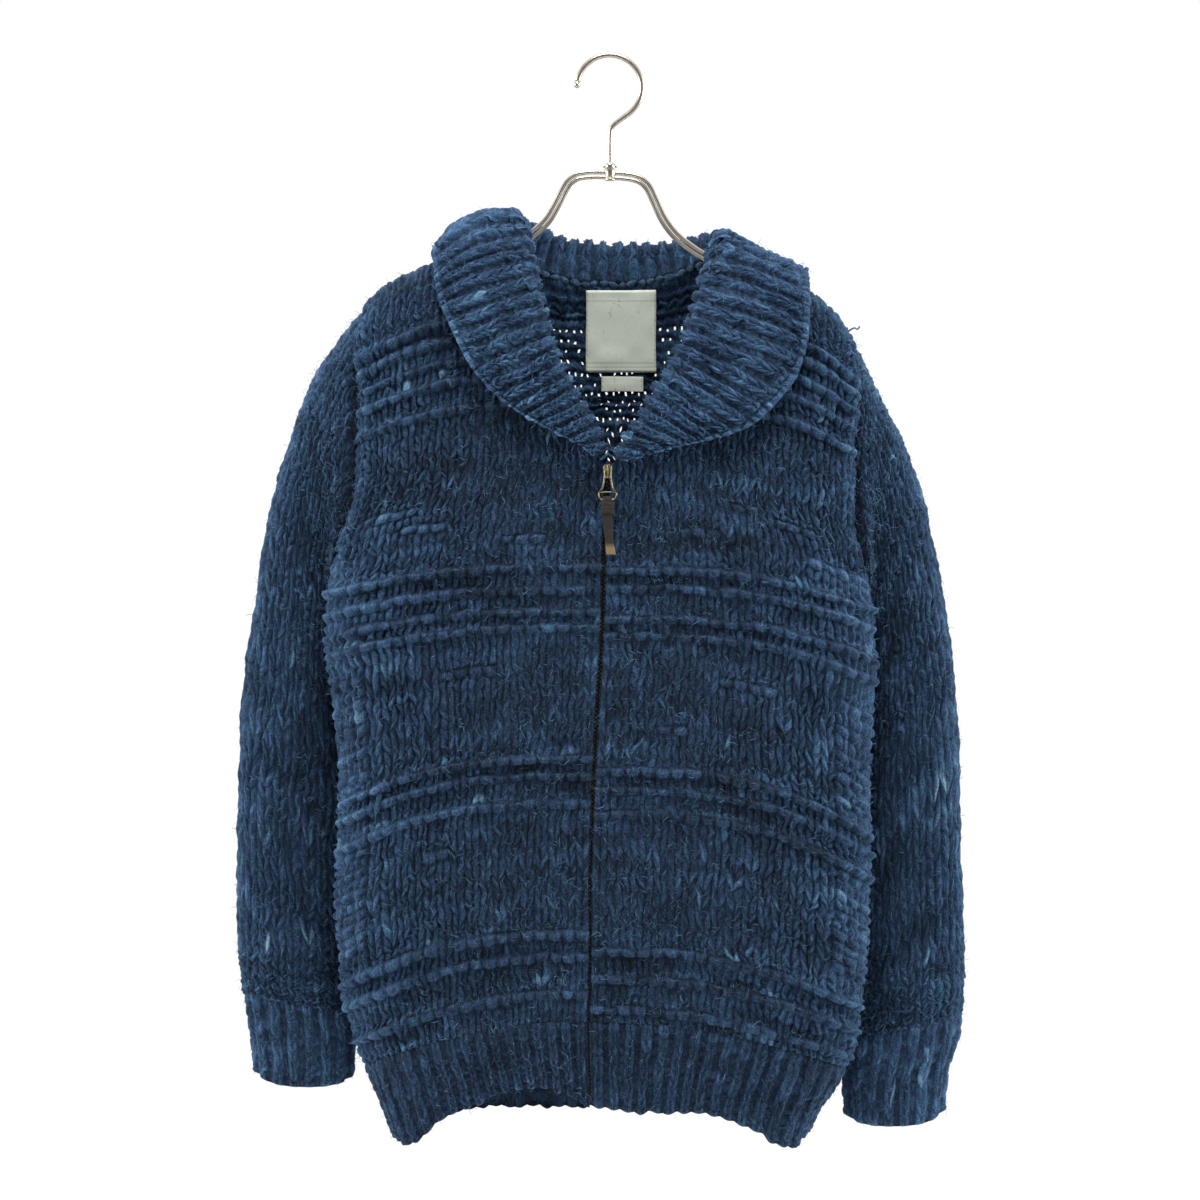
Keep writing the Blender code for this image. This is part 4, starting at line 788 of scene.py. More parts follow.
def make_front(side, name, seed):
    ridges = RIDGES_FRONT[side]
    purls, lines, places = ridge_rows(NECK_POINT + 0.02, RIB_TOP - SEAM, FRONT_ROWS, ridges)
    purl = np.zeros((FRONT_ROWS, FRONT_STITCHES), bool)
    purl[purls] = True
    purl &= np.random.RandomState(seed + 1).uniform(0, 1, purl.shape) > 0.07
    middles = np.interp(np.arange(FRONT_ROWS) + 0.5, lines, places)
    for first, last, top, bottom in LADDERS[side]:
        for row in np.flatnonzero((middles >= top) & (middles <= bottom))[::2]:
            purl[row, FRONT_STITCHES - 1 - last:FRONT_STITCHES - first] = True
    cloth = stitches(purl, seed)
    row = cloth["along"] = np.interp(cloth["along"], lines, places)
    across = cloth["across"] = cloth["across"] / FRONT_STITCHES
    place = front_place(side)
    points = place(across, row)
    x, z = points[..., 0], points[..., 2]
    to_seam = eased(clamp((1 - across) / 0.12))
    lift = lift_at(row, points, ridges) * to_seam
    calm = to_seam * clamp(across / 0.06)
    waves = 2.2 * uneven(seed + 5, x, z, 60)
    lift = lift + calm * (waves + creases(points, FRONT_CREASES[side]))

    # the side seam's swell, and the furrow beside the purl ladders
    from_side = (1 - across) * FRONT_CLOTH
    lift = lift + 2.2 * bell(from_side - 17, 9) * clamp((row - 175) / 40)
    band = clamp((row - 480) / 30) * clamp((740 - row) / 30)
    lift = lift - 2.2 * band * bell(from_side - 50, 3.5)
    u = np.abs(x) / 225
    # painted light: the front's tone is lighter toward its sides and darker in its middle
    cloth["tone"] = cloth["tone"] + 0.17 * clamp((u - 0.5) / 0.45) - 0.135

    # the roll of cloth beside the armhole's seam, with a painted highlight on the roll and a
    # painted shadow along the seam's edge
    from_edge = np.abs(side_edge(side, -z) - x)
    beside = clamp((row - 172) / 25) * clamp((480 - row) / 60)
    roll = beside * bell(from_edge - 6, 4.5)
    lift = lift + 3.6 * roll
    # painted highlight on the roll, and painted shadow along the body's edge
    cloth["tone"] = cloth["tone"] + 0.1 * roll - 0.28 * beside * bell(from_edge, 2.4)
    rough = 1 + 0.2 * uneven(seed + 6, x, z, 24)
    relief = mix(2.0, 4.2, clamp((u - 0.35) / 0.5)) * rough
    relief = np.where(cloth["purl"], mix(2.4, 4.0, to_seam), relief)

    # nothing is left inside the neckline
    neck = np.where(row < V_POINT, side * read(NECKLINE[side], row), -1e3)
    out = side * x <= neck + 1e-6
    corners = np.stack([out[:-1, :-1], out[:-1, 1:], out[1:, 1:], out[1:, :-1]])
    return knit_cloth(
        name, cloth, place, away(-1, 0.25), lift, INDIGO, keep=~corners.all(axis=0),
        clear=front_clear(side), fine_inside=corners.any(axis=0), rim=across * FRONT_CLOTH,
        relief=relief,
    )


for side, name, node, seed in (
    (-1, "front_l", "front_left", 21), (1, "front_r", "front_right", 31),
):
    front = make_front(side, name, seed)
    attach(front, "cardigan")
    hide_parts(node)

# ------------------------------------------------------------------ hem ribs
# A deep welt of single rib, knitted on below the panels in three lengths. Each rib is one
# plain column standing between purl columns, and the welt pulls in and sags at the corners.
HEM_ROWS = 9


def rib_cloth(
    ribs, rows, seed, plain_share=0.66, leg_points=4, row_points=3, slant=1.1, bound=False,
):
    """Single rib: round plain columns with a sunken purl column between each two of them.

    With bound, the last row is the chain of the bound-off edge.
    """
    purl = np.zeros((rows, 2 * ribs + 1), bool)
    purl[:, ::2] = True
    if bound:
        purl[-1] = True
    cloth = stitches(
        purl, seed, slant=slant, leg_points=leg_points, row_points=row_points, jitter=0.16,
        cleft=0.6,
    )
    chain = (cloth["along"] > rows - 1.1) & bound
    cloth["height"] = np.where(cloth["purl"] & ~chain, 0.3 * cloth["height"], cloth["height"])
    widths = np.where(np.arange(2 * ribs + 1) % 2, plain_share, 1 - plain_share)
    widths[0] = widths[-1] = (1 - plain_share) / 2
    edges = np.concatenate([[0], np.cumsum(widths)]) / ribs
    cloth["across"] = np.interp(cloth["across"], np.arange(2 * ribs + 2), edges)
    crest = (0.5 - 0.5 * np.cos(2 * math.pi * cloth["across"] * ribs)) ** 0.65
    cloth["crest"] = np.where(chain, 0.62, crest)
    cloth["along"] = cloth["along"] / rows
    return cloth


def make_hem(name, node, place, clear, outward, ribs, low, seed):
    cloth = rib_cloth(ribs, HEM_ROWS, seed, leg_points=3)
    share = cloth["along"]
    cloth["across"] = mix(low, 1, cloth["across"])
    wave = 1.8 * (cloth["crest"] - 0.6)
    wave = wave + 1.4 * uneven(seed + 2, cloth["across"] * 20, share, 1.0)
    cloth["along"] = mix(RIB_TOP - 1.2, HEM, share) + share ** 6 * wave
    blur = 0.55 + 0.45 * uneven(seed + 1, cloth["across"] * 14, share * 3, 1.0)
    lift = 3.2 * blur * cloth["crest"] * np.clip(share * 8, 0.2, 1) - 0.6
    cloth["tone"] = cloth["tone"] * 0.7 + 0.03
    rim = (1 - share) * (HEM - RIB_TOP)
    made = knit_cloth(
        name, cloth, place, outward, lift, INDIGO, clear=clear, rim=rim, relief=2.6,
    )
    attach(made, "cardigan")
    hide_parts(node)
    return made


for side, name, node, ribs, seed, flat, area, above in (
    (-1, "hem_l", "hem_rib_left", 17, 41, (0.225, 0.070), 0.0125, "front_l"),
    (1, "hem_r", "hem_rib_right", 17, 43, (0.235, 0.075), 0.0160, "front_r"),
):
    make_hem(
        name, node, front_place(side), front_clear(side), away(-1, 0.1),
        ribs, 0, seed,
    )
make_hem(
    "hem_back", "hem_rib_back", back_at, back_clear, away(1, 0.1), 34, -1, 45,
)

# ------------------------------------------------------------------ sleeves
# Two sleeves in the same wool, plain all the way, sewn into dropped armholes. They hang by the
# body's sides, widest at the elbow, with the cloth bunching a little above the cuffs.
SLEEVE_ROOM = 5.5       # between sleeve and body
SOFT_PUSH = 4.0         # how softly the body pushes the sleeve aside
ARMHOLE_RINGS = 5       # rings over which the sleeve leaves its armhole
SLEEVES = {     # x and down of the outer and the inner edge, Y of both, half depth, squareness
    -1: (
        (-203, 206, -225, 424, 0, -8, 28, 3.0), (-221, 231, -231, 437, 0, 0, 27, 2.9),
        (-248, 272, -226, 455, 1, 10, 26, 2.8), (-267, 318, -219, 481, 2, 20, 25, 2.7),
        (-286, 391, -213, 520, 3, 26, 24, 2.6), (-299, 476, -208, 575, 4, 30, 23, 2.5),
        (-309, 569, -205, 650, 5, 32, 22, 2.5), (-312, 665, -206, 728, 5, 32, 21, 2.5),
        (-311, 752, -209, 779, 6, 29, 20, 2.5), (-306, 787, -211, 804, 7, 25, 19, 2.4),
    ),
    1: (
        (203, 231, 214, 436, 0, -8, 28, 3.0), (216, 265, 219, 449, 0, 0, 27, 2.9),
        (231, 294, 215, 466, 1, 10, 26, 2.8), (249, 330, 210, 490, 2, 20, 25, 2.7),
        (269, 388, 204, 532, 3, 27, 24, 2.6), (284, 464, 200, 583, 4, 31, 23, 2.5),
        (293, 548, 197, 657, 5, 33, 22, 2.5), (297, 648, 197, 737, 5, 32, 21, 2.5),
        (298, 749, 199, 803, 6, 30, 20, 2.5), (297, 806, 200, 826, 7, 26, 19, 2.4),
    ),
}
SLEEVE_STITCHES = 20
SLEEVE_ROWS = 70
SLEEVE_CREASES = {
    -1: (
        (-300, 560, -240, 590, 3.5, 14), (-305, 640, -230, 620, 3, 13),
        (-300, 700, -240, 740, -3, 13), (-290, 430, -240, 470, 3, 16),
        (-300, 760, -230, 765, 3, 9), (-260, 330, -240, 420, -2.5, 14),
    ),
    1: (
        (285, 570, 230, 600, 3.5, 14), (290, 650, 220, 640, 3, 13), (285, 720, 230, 750, -3, 13),
        (270, 440, 225, 480, 3, 16), (285, 780, 220, 785, 3, 9), (245, 340, 228, 430, -2.5, 14),
    ),
}


def beside_body(side, points, room):
    """Points moved sideways until they have room beside the body's rounded side."""
    x, y, z = points[..., 0], points[..., 1], points[..., 2]
    depth = np.where(y < SIDE_SEAM_DEPTH, read(DEPTH, -z, 1), read(DEPTH, -z, 2))
    reach = np.abs(depth - SIDE_SEAM_DEPTH) + room
    share = clamp(np.abs(y - SIDE_SEAM_DEPTH) / reach)
    edge = side * side_edge(side, -z) + room
    limit = edge - (SIDE_FOLD + room) * (1 - np.sqrt(1 - share * share))
    apart = side * x - limit
    pushed = side * (limit + (apart + np.hypot(apart, SOFT_PUSH)) / 2)
    return np.stack([pushed, y, z], -1)


def arc_lengths(points):
    """Length along a line of points, up to each of them."""
    steps = np.linalg.norm(np.diff(points, axis=0), axis=-1)
    return np.concatenate([[0], np.cumsum(steps)])


def evenly(points, count):
    """As many points as count, evenly along a line of points."""
    length = arc_lengths(points)
    places = np.linspace(0, length[-1], count)
    return np.stack([np.interp(places, length, points[:, k]) for k in range(3)], -1)


def ring_grid(side, rings, rows, points, sag=0.0, armhole=False):
    """A tube's surface as a grid: rows down it, points evenly round it from its inner edge."""
    numbered = [(index, *ring) for index, ring in enumerate(rings)]
    last = len(rings) - 1
    at = np.linspace(0, last, rows)
    ox, od, ix, idn, oy, iy, deep, square = (read(numbered, at, column) for column in range(1, 9))
    outer = np.stack([ox, oy, -od], -1)
    inner = np.stack([ix, iy, -idn], -1)
    middle = (outer + inner) / 2
    half = np.linalg.norm(outer - inner, axis=-1) / 2
    axis = (outer - inner) / (2 * half[:, None])
    front = np.array((0.0, -1.0, 0.0)) - axis * -axis[:, 1:2]
    front /= np.linalg.norm(front, axis=-1, keepdims=True)
    turn = np.linspace(math.pi, 3 * math.pi, 4 * points + 1)
    cosine, sine = np.cos(turn)[None], np.sin(turn)[None]
    along = np.sign(cosine) * np.abs(cosine) ** (2 / square[:, None]) * half[:, None]
    ahead = np.sign(sine) * np.abs(sine) ** (2 / square[:, None]) * deep[:, None]
    grid = middle[:, None] + axis[:, None] * along[..., None] + front[:, None] * ahead[..., None]
    grid[..., 2] -= (sag * at / last)[:, None] * sine
    room = SLEEVE_ROOM * clamp(at / ARMHOLE_RINGS) if armhole else SLEEVE_ROOM + 0 * at
    pushed = beside_body(side, grid, room[:, None])
    grid = np.where((room > 0)[:, None, None], pushed, grid)
    return np.stack([evenly(ring, points + 1) for ring in grid])


def sampler(grid, wrap=False):
    """A function that gives points of a grid at shares across and along it."""
    rows, columns = grid.shape[0] - 1, grid.shape[1] - 1

    def at(across, along):
        c = np.mod(across, 1.0) if wrap else clamp(across)
        c = np.where(across == 1, 1.0, c) * columns
        r = clamp(along) * rows
        i, j = np.minimum(r.astype(int), rows - 1), np.minimum(c.astype(int), columns - 1)
        s, t = (r - i)[..., None], (c - j)[..., None]
        upper = mix(grid[i, j], grid[i, j + 1], t)
        lower = mix(grid[i + 1, j], grid[i + 1, j + 1], t)
        return mix(upper, lower, s)

    return at


def from_middle(points):
    """Directions out of a tube, away from the middle of each of its rings."""
    return points - points[:, :-1].mean(axis=1, keepdims=True)


def make_sleeve(side, name, seed):
    cloth = stitches(np.zeros((SLEEVE_ROWS, SLEEVE_STITCHES), bool), seed)
    cloth["across"] = cloth["across"] / SLEEVE_STITCHES
    cloth["along"] = cloth["along"] / SLEEVE_ROWS
    grid = ring_grid(side, SLEEVES[side], rows=140, points=160, armhole=True)
    place = sampler(grid, wrap=True)
    points = place(cloth["across"], cloth["along"])
    ends = clamp(np.minimum(cloth["along"], 1 - cloth["along"]) / 0.05)
    swell = 1.6 * uneven(seed + 5, points[..., 0] + points[..., 1], points[..., 2], 45)
    lift = ends * (swell + creases(points, SLEEVE_CREASES[side]) * (points[..., 1] < 30))
    lift[:, -1] = lift[:, 0]
    # painted shade: the sleeve darkens toward its inner edge beside the body and in its first rows
    # at the armhole, and is a little lighter elsewhere
    beside = 0.5 + 0.5 * np.cos(2 * math.pi * cloth["across"])
    painted_tuck_shade = clamp(1.3 - cloth["along"] * 20)
    cloth["tone"] = cloth["tone"] + 0.03 - 0.17 * beside - 0.42 * painted_tuck_shade

    def clear(points, across, along):
        """Gathers the sleeve's first rows into the armhole, at the body's edge."""
        down = np.maximum(-points[..., 2], SHOULDER_TIP[side])
        edge = side_edge(side, down) - side * 6.5
        near = clamp(1 - along * SLEEVE_ROWS / 5.0) ** 1.6
        points[..., 0] = mix(points[..., 0], edge, near)
        points[..., 1] *= 1 - 0.2 * near
        return points

    return knit_cloth(
        name, cloth, place, from_middle, lift, INDIGO, clear=clear, wrap=True, relief=3.0,
    )


for side, name, node, seed in (
    (-1, "sleeve_l", "sleeve_left", 51), (1, "sleeve_r", "sleeve_right", 61),
):
    sleeve = make_sleeve(side, name, seed)
    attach(sleeve, "cardigan")
    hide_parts(node)

# ------------------------------------------------------------------ cuffs
# Short cuffs of the same single rib, knitted on below the sleeves. They draw the sleeve in and
# hang a little lower at the front.
CUFFS = {
    -1: (
        (-305, 784, -212, 801, 7, 25, 18, 2.4), (-300, 808, -214, 818, 7, 23, 18, 2.4),
        (-297, 832, -215, 837, 8, 21, 18, 2.4), (-295, 853, -217, 855, 8, 20, 17, 2.4),
    ),
    1: (
        (297, 803, 201, 823, 7, 26, 18, 2.4), (292, 827, 201, 841, 7, 24, 18, 2.4),
        (284, 851, 200, 861, 8, 22, 18, 2.4), (281, 886, 202, 888, 8, 21, 17, 2.4),
    ),
}
CUFF_SAG = 10.5         # how much lower the cuff hangs at its front
CUFF_RIBS = 15
CUFF_ROWS = 8
# painted light: a lighter copy of the indigo wool, used on the collar and cuffs for the brighter
# light on them
INDIGO_PAINTED_LIGHTER = wool(
    "indigo wool painted lighter", dark=(0.0036, 0.0095, 0.0190), middle=(0.0175, 0.0470, 0.0920),
    light=(0.0450, 0.1130, 0.1930), bright=(0.140, 0.280, 0.335), violet=(1.35, 0.86, 1.12),
)


def make_cuff(side, name, seed):
    cloth = rib_cloth(CUFF_RIBS, CUFF_ROWS, seed)
    share = cloth["along"]
    place = sampler(ring_grid(side, CUFFS[side], rows=40, points=180, sag=CUFF_SAG), wrap=True)
    lift = 3.2 * cloth["crest"] * np.clip(share * 6, 0.3, 1) - 0.6
    return knit_cloth(
        name, cloth, place, from_middle, lift, INDIGO_PAINTED_LIGHTER, wrap=True, rim=(1 - share) * 60,
        relief=2.4,
    )


for side, name, node, seed in ((-1, "cuff_l", "cuff_left", 71), (1, "cuff_r", "cuff_right", 73)):
    cuff = make_cuff(side, name, seed)
    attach(cuff, "cardigan")
    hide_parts(node)
    above = name.replace("cuff", "sleeve")

# ------------------------------------------------------------------ shawl collar
# One long strip of deep single rib, sewn to the neckline from V point to V point. It stands up
# from the seam, rolls over and lies out over the shoulders, with a chained bound-off edge.
COLLARS = {     # station, x, y, down of fold, x, y, down of outer edge, turn, bulge
    -1: (
        (0.00, -3, -49, 341, -6, -53, 343, 0, 0), (0.10, -7, -48, 326, -21, -53, 328, 0, 1),
        (0.20, -15, -46, 307, -40, -52, 318, 0, 2), (0.30, -26, -45, 286, -64, -52, 306, 0, 3),
        (0.40, -39, -43, 262, -88, -51, 290, 0, 4), (0.50, -50, -40, 235, -113, -49, 263, 5, 5),
        (0.60, -57, -34, 206, -131, -43, 229, 15, 6), (0.68, -64, -25, 176, -143, -34, 200, 35, 7),
        (0.76, -71, -10, 148, -146, -17, 181, 60, 11), (0.80, -77, -2, 137, -147, 2, 168, 82, 13),
        (0.84, -78, 6, 135, -144, 24, 173, 100, 12), (0.90, -61, 20, 144, -130, 37, 207, 140, 6),
        (0.95, -36, 27, 152, -87, 42, 222, 165, 5), (1.00, 2, 29, 158, 0, 43, 227, 180, 4),
    ),
    1: (
        (0.00, 3, -51, 342, 5, -55, 343, 0, 0), (0.10, 10, -51, 331, 27, -56, 335, 0, 1),
        (0.20, 21, -50, 314, 55, -54, 328, 0, 2), (0.30, 34, -45, 291, 84, -52, 323, 0, 3),
        (0.40, 47, -43, 270, 115, -51, 313, 0, 4), (0.50, 58, -41, 249, 140, -49, 292, 5, 5),
        (0.60, 67, -37, 226, 160, -45, 263, 10, 6), (0.68, 76, -31, 203, 167, -38, 233, 20, 6),
        (0.76, 84, -20, 178, 168, -27, 206, 45, 3), (0.80, 89, -10, 161, 167, -11, 198, 68, 1),
        (0.84, 93, 1, 151, 165, 4, 192, 85, 0), (0.88, 92, 11, 150, 159, 24, 197, 110, 2),
        (0.94, 72, 22, 153, 123, 38, 214, 150, 6), (0.97, 42, 27, 157, 69, 42, 222, 168, 5),
        (1.00, 2, 29, 158, 0, 43, 227, 180, 4),
    ),
}
COLLAR_SEAM = {     # station, and down of the neckline that it is sewn to
    -1: (
        (0, 343), (0.1, 328), (0.2, 310), (0.3, 289), (0.4, 266), (0.5, 240), (0.6, 213),
        (0.68, 188), (0.76, 168), (0.8, 161),
    ),
    1: (
        (0, 343), (0.1, 332), (0.2, 316), (0.3, 294), (0.4, 274), (0.5, 254), (0.6, 232),
        (0.68, 208), (0.76, 178), (0.8, 161),
    ),
}
COLLAR_RIBS = 26            # ribs of each half
COLLAR_KNIT_ROWS = 15
COLLAR_ROLL = 6.0           # radius of the fold
COLLAR_ROOM = 8.0           # between the collar's middle and the body
COLLAR_START = 0.045        # first station
NECK_POINT_STATION = 0.8
FOLD_STARTS = 0.3           # shares of the way from the seam to the outer edge
FOLD_ENDS = 0.5
COLLAR_POINTS = 121         # along that way, and from the V point to the middle of the back
COLLAR_STATIONS = 241


def outside_body(points, room):
    """Points moved out of the body's shoulders, front and back until they have room."""
    x, y, z = points[..., 0], points[..., 1], points[..., 2]
    crest = np.zeros_like(x)
    for side in (-1, 1):
        neck = NECKLINE[side][0][1]
        share = (x - neck) / (float(side_edge(side, SHOULDER_TIP[side])) - neck)
        mine = x < 0 if side < 0 else x >= 0
        crest = np.where(mine, shoulder_line(side, clamp(share)) - room, crest)
    fold = SHOULDER_FOLD + room
    above = np.maximum(crest + fold + z, 0) / fold
    depth = np.where(y < 0, read(DEPTH, -z, 1) - room, read(DEPTH, -z, 2) + room)
    reach = np.maximum(np.hypot(above, y / depth), 1e-6)
    beside = np.stack([x, depth, z], -1)
    over = np.stack([x, y / reach, above / reach * fold - crest - fold], -1)
    moved = np.where((above == 0)[..., None], beside, over)
    return np.where((reach >= 1)[..., None], points, moved)


def neck_seam(side, stations):
    """Middle of the neckline's cut edge at each station."""
    row = read(COLLAR_SEAM[side], stations)
    table = COLLARS[side]
    share = clamp(read(table, stations) / float(read(table, NECK_POINT_STATION)))
    ahead = front_place(side)(np.zeros_like(row), np.maximum(row, NECK_POINT + 0.1))
    ahead = ahead + np.array((-side * 1.3, KNIT / 2, 0))
    behind = np.stack([
        share * NECKLINE[side][0][1],
        read(DEPTH, BACK_NECK, 2) * np.sqrt(1 - share ** 2) - KNIT / 2,
        -mix(BACK_NECK, NECK_POINT, share ** NECK_CURVE) + 1.3,
    ], -1)
    turned = clamp((stations - NECK_POINT_STATION) / 0.02 + 0.5)[:, None]
    return mix(ahead, behind, turned)


def collar_half(side, stations):
    """The collar's middle surface, from the neck seam over the fold to its outer edge."""
    table = COLLARS[side]
    fx, fy, fd, ex, ey, ed, turn, bulge = (read(table, stations, c) for c in range(1, 9))
    fold = np.stack([fx, fy, -fd], -1)
    edge = np.stack([ex, ey, -ed], -1)
    length = np.linalg.norm(edge - fold, axis=-1)
    along = (edge - fold) / length[:, None]
    turn = np.radians(turn)
    outside = np.stack([side * 0.35 * np.sin(turn), -np.cos(turn), 0.95 * np.sin(turn)], -1)
    outside -= along * np.sum(along * outside, -1, keepdims=True)
    outside /= np.linalg.norm(outside, axis=-1, keepdims=True)
    seam = neck_seam(side, stations)
    stand = np.linalg.norm(seam - fold, axis=-1)
    roll = np.minimum(COLLAR_ROLL, np.minimum(0.3 * length, 0.6 * stand))
    grid = np.empty((COLLAR_POINTS, len(stations), 3))
    for k in range(COLLAR_POINTS):
        share = k / (COLLAR_POINTS - 1)
        if share < FOLD_STARTS:
            point = mix(seam, fold + roll[:, None] * (along - outside), share / FOLD_STARTS)
        elif share < FOLD_ENDS:
            turned = math.pi * (share - FOLD_STARTS) / (FOLD_ENDS - FOLD_STARTS)
            point = fold + roll[:, None] * (
                (1 - math.sin(turned)) * along - math.cos(turned) * outside
            )
        else:
            t = (share - FOLD_ENDS) / (1 - FOLD_ENDS)
            rise = roll * (1 - t) + bulge * 4 * t * (1 - t)
            point = fold + mix(roll, length, t)[:, None] * along + rise[:, None] * outside
            point = outside_body(point, COLLAR_ROOM)
        grid[k] = point
    return grid


def make_collar():
    fine = np.linspace(COLLAR_START, 1, 400)
    middle_of_fold = round((COLLAR_POINTS - 1) * (FOLD_STARTS + FOLD_ENDS) / 2)
    halves = []
    for side in (-1, 1):
        length = arc_lengths(collar_half(side, fine)[middle_of_fold])
        stations = np.interp(np.linspace(0, length[-1], COLLAR_STATIONS), length, fine)
        halves.append(collar_half(side, stations))
    grid = np.concatenate([halves[0], halves[1][:, -2::-1]], axis=1)
    lines = [evenly(line, COLLAR_POINTS) for line in grid.transpose(1, 0, 2)]
    cloth = rib_cloth(
        2 * COLLAR_RIBS, COLLAR_KNIT_ROWS, 81, leg_points=3, row_points=4, slant=1.5, bound=True,
        plain_share=0.72,
    )
    calm = clamp(np.minimum(cloth["across"], 1 - cloth["across"]) * 60)
    wander = uneven(84, cloth["across"] * 104, cloth["along"] * 8, 2.2)
    across = cloth["across"] + calm * 0.0022 * wander
    along = cloth["along"]
    base = sampler(np.stack(lines, axis=1))(across, along)
    normals = grid_normals(base)
    if normals[-20, normals.shape[1] // 4, 1] > 0:      # the outer fall faces the front
        normals = -normals
    rim = np.minimum(np.minimum(1 - along, 0.15) * 190, np.minimum(across, 1 - across) * 700)
    close = rounded_rim(rim)
    low = clamp((np.abs(across - 0.5) - 0.2) / 0.14)
    tall = mix(3.9, 1.9, low) + 0.9 * uneven(85, across * 104, along * 10, 2.6)
    spots = np.random.RandomState(86).uniform(0, 1, (60, 320))
    at_row, at_leg = (along * 59).astype(int), (across * 319).astype(int)
    fleck = spots[at_row, at_leg] < mix(0.01, 0.05, low)
    tone = cloth["tone"] + np.where(fleck, 0.25, 0)
    stand = bell(across - 0.5, 0.16)
    yarn_up = mix(3.4, 4.0, low) * (1 - 0.45 * stand) * (cloth["height"] - 0.55)
    up = yarn_up + (1 - 0.2 * stand) * tall * cloth["crest"] - 0.8 - close
    swell = 1.2 * uneven(88, base[..., 0], base[..., 2], 30)
    outer = base + (KNIT / 2 + up + swell)[..., None] * normals
    inner = base - (KNIT / 2 - close)[..., None] * normals
    keep = np.ones((base.shape[0] - 1, base.shape[1] - 1), bool)
    # the yarn height, lowered in the sunken columns between ribs, sets the material's painted shade
    # there
    yarn = np.clip(cloth["height"] * (0.5 + 0.5 * cloth["crest"]), 0, 1.2)
    facts = {
        "fibre": [cloth["fibre"]] * 2, "tone": [tone] * 2, "yarn": [yarn, 0.55 + 0 * yarn],
    }
    return facing_out(
        knit_mesh("collar", outer, inner, keep, cloth["block"], ~keep, facts, INDIGO_PAINTED_LIGHTER)
    )


def plain(
    name, colour, roughness, metallic=0.0, grain=0.0, size=900.0, mottle=0.25, stretch=(1, 1, 1),
):
    """A plain material whose colour and surface vary a little with a fine grain."""
    material = bpy.data.materials.new(name)
    nodes, add, fill = graph(material)
    place = add("TexCoord", {}).outputs["Object"]
    scaled = add("VectorMath", {0: place, 1: stretch}, operation="MULTIPLY").outputs["Vector"]
    noise = add("TexNoise", {"Scale": size, "Detail": 5.0, "Vector": scaled}).outputs["Fac"]
    ramp = add("ValToRGB", {"Fac": noise})
    for stop, at, share in zip(ramp.color_ramp.elements, (0.35, 0.65), (1 - mottle, 1 + mottle)):
        stop.position = at
        stop.color = (*[min(share * value, 1) for value in colour], 1)
    bump = add("Bump", {"Strength": grain, "Distance": 0.0003, "Height": noise})
    fill(nodes["Principled BSDF"], {
        "Roughness": roughness, "Metallic": metallic, "Base Color": ramp.outputs["Color"],
        "Normal": bump.outputs["Normal"],
    })
    return material


def mottled(nodes):
    """The mottled colour of a plain material."""
    return next(node for node in nodes if node.bl_idname == "ShaderNodeValToRGB").outputs["Color"]


def joined(name, shapes, material, smooth=True):
    """One mesh of many small shapes, each a pair of points and faces."""
    points, faces, start = [], [], 0
    for shape_points, shape_faces in shapes:
        points += [tuple(point) for point in np.asarray(shape_points) * MM]
        faces += [[start + corner for corner in face] for face in shape_faces]
        start += len(shape_points)
    mesh = bpy.data.meshes.new(name)
    mesh.from_pydata(points, [], faces)
    mesh.materials.append(material)
    if smooth:
        mesh.shade_smooth()
    return facing_out(placed(name, mesh))


def ring_faces(rings, sides, closed=False):
    """Faces between rings of points that follow each other, and a cap at either end."""
    faces = []
    for i in range(rings if closed else rings - 1):
        a, b = i * sides, (i + 1) % rings * sides
        for k in range(sides):
            after = (k + 1) % sides
            faces.append((a + k, a + after, b + after, b + k))
    if not closed:
        faces += [list(range(sides)), list(range((rings - 1) * sides, rings * sides))]
    return faces


def rod(path, radii, sides=12, closed=False, flat=1.0):
    """A round rod along a path of x, y and down; flat below 1 squashes it."""
    path = np.array(path, float) * (1, 1, -1)
    radii = np.broadcast_to(np.asarray(radii, float), (len(path),))
    ahead = np.roll(path, -1, axis=0) - np.roll(path, 1, axis=0)
    if not closed:
        ahead[0], ahead[-1] = path[1] - path[0], path[-1] - path[-2]
    ahead /= np.linalg.norm(ahead, axis=1, keepdims=True)
    side = np.cross(ahead[0], (0.0, 1.0, 0.001))
    points = []
    for place, run, radius in zip(path, ahead, radii):
        side = side - run * side.dot(run)
        side /= np.linalg.norm(side)
        up = np.cross(run, side)
        for k in range(sides):
            turn = 2 * math.pi * k / sides
            points.append(place + radius * (math.cos(turn) * side + flat * math.sin(turn) * up))
    return points, ring_faces(len(path), sides, closed)


def make_neck_cord():
    """The lumpy ridge of picked-up loops inside the neck, where the collar starts."""
    share = np.linspace(-0.93, 0.93, 260)       # of the way from the middle to the neck points
    x = np.where(share < 0, -share * NECKLINE[-1][0][1], share * NECKLINE[1][0][1])
    flat = np.sqrt(1 - share ** 2)
    y = float(read(DEPTH, BACK_NECK, 2)) * flat - KNIT - 1.2
    down = mix(BACK_NECK, NECK_POINT, np.abs(share) ** NECK_CURVE) - 1.0
    lump = np.abs(np.sin(x / 2.6 + 0.9 * uneven(82, x, x, 9)))
    path = np.stack([x, y + 1.4 - 0.9 * lump, down + 1.6 * uneven(83, x, x, 8)], -1)
    return joined("neck_cord", [rod(path, 0.7 + 2.2 * lump ** 0.8, 10)], YARN)


YARN = plain("indigo yarn", (0.016, 0.042, 0.080), 0.95, grain=1.0, size=420, mottle=0.75)
collar = make_collar()
neck_cord = make_neck_cord()
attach(collar, "cardigan")
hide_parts("shawl_collar")
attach(neck_cord, "cardigan")

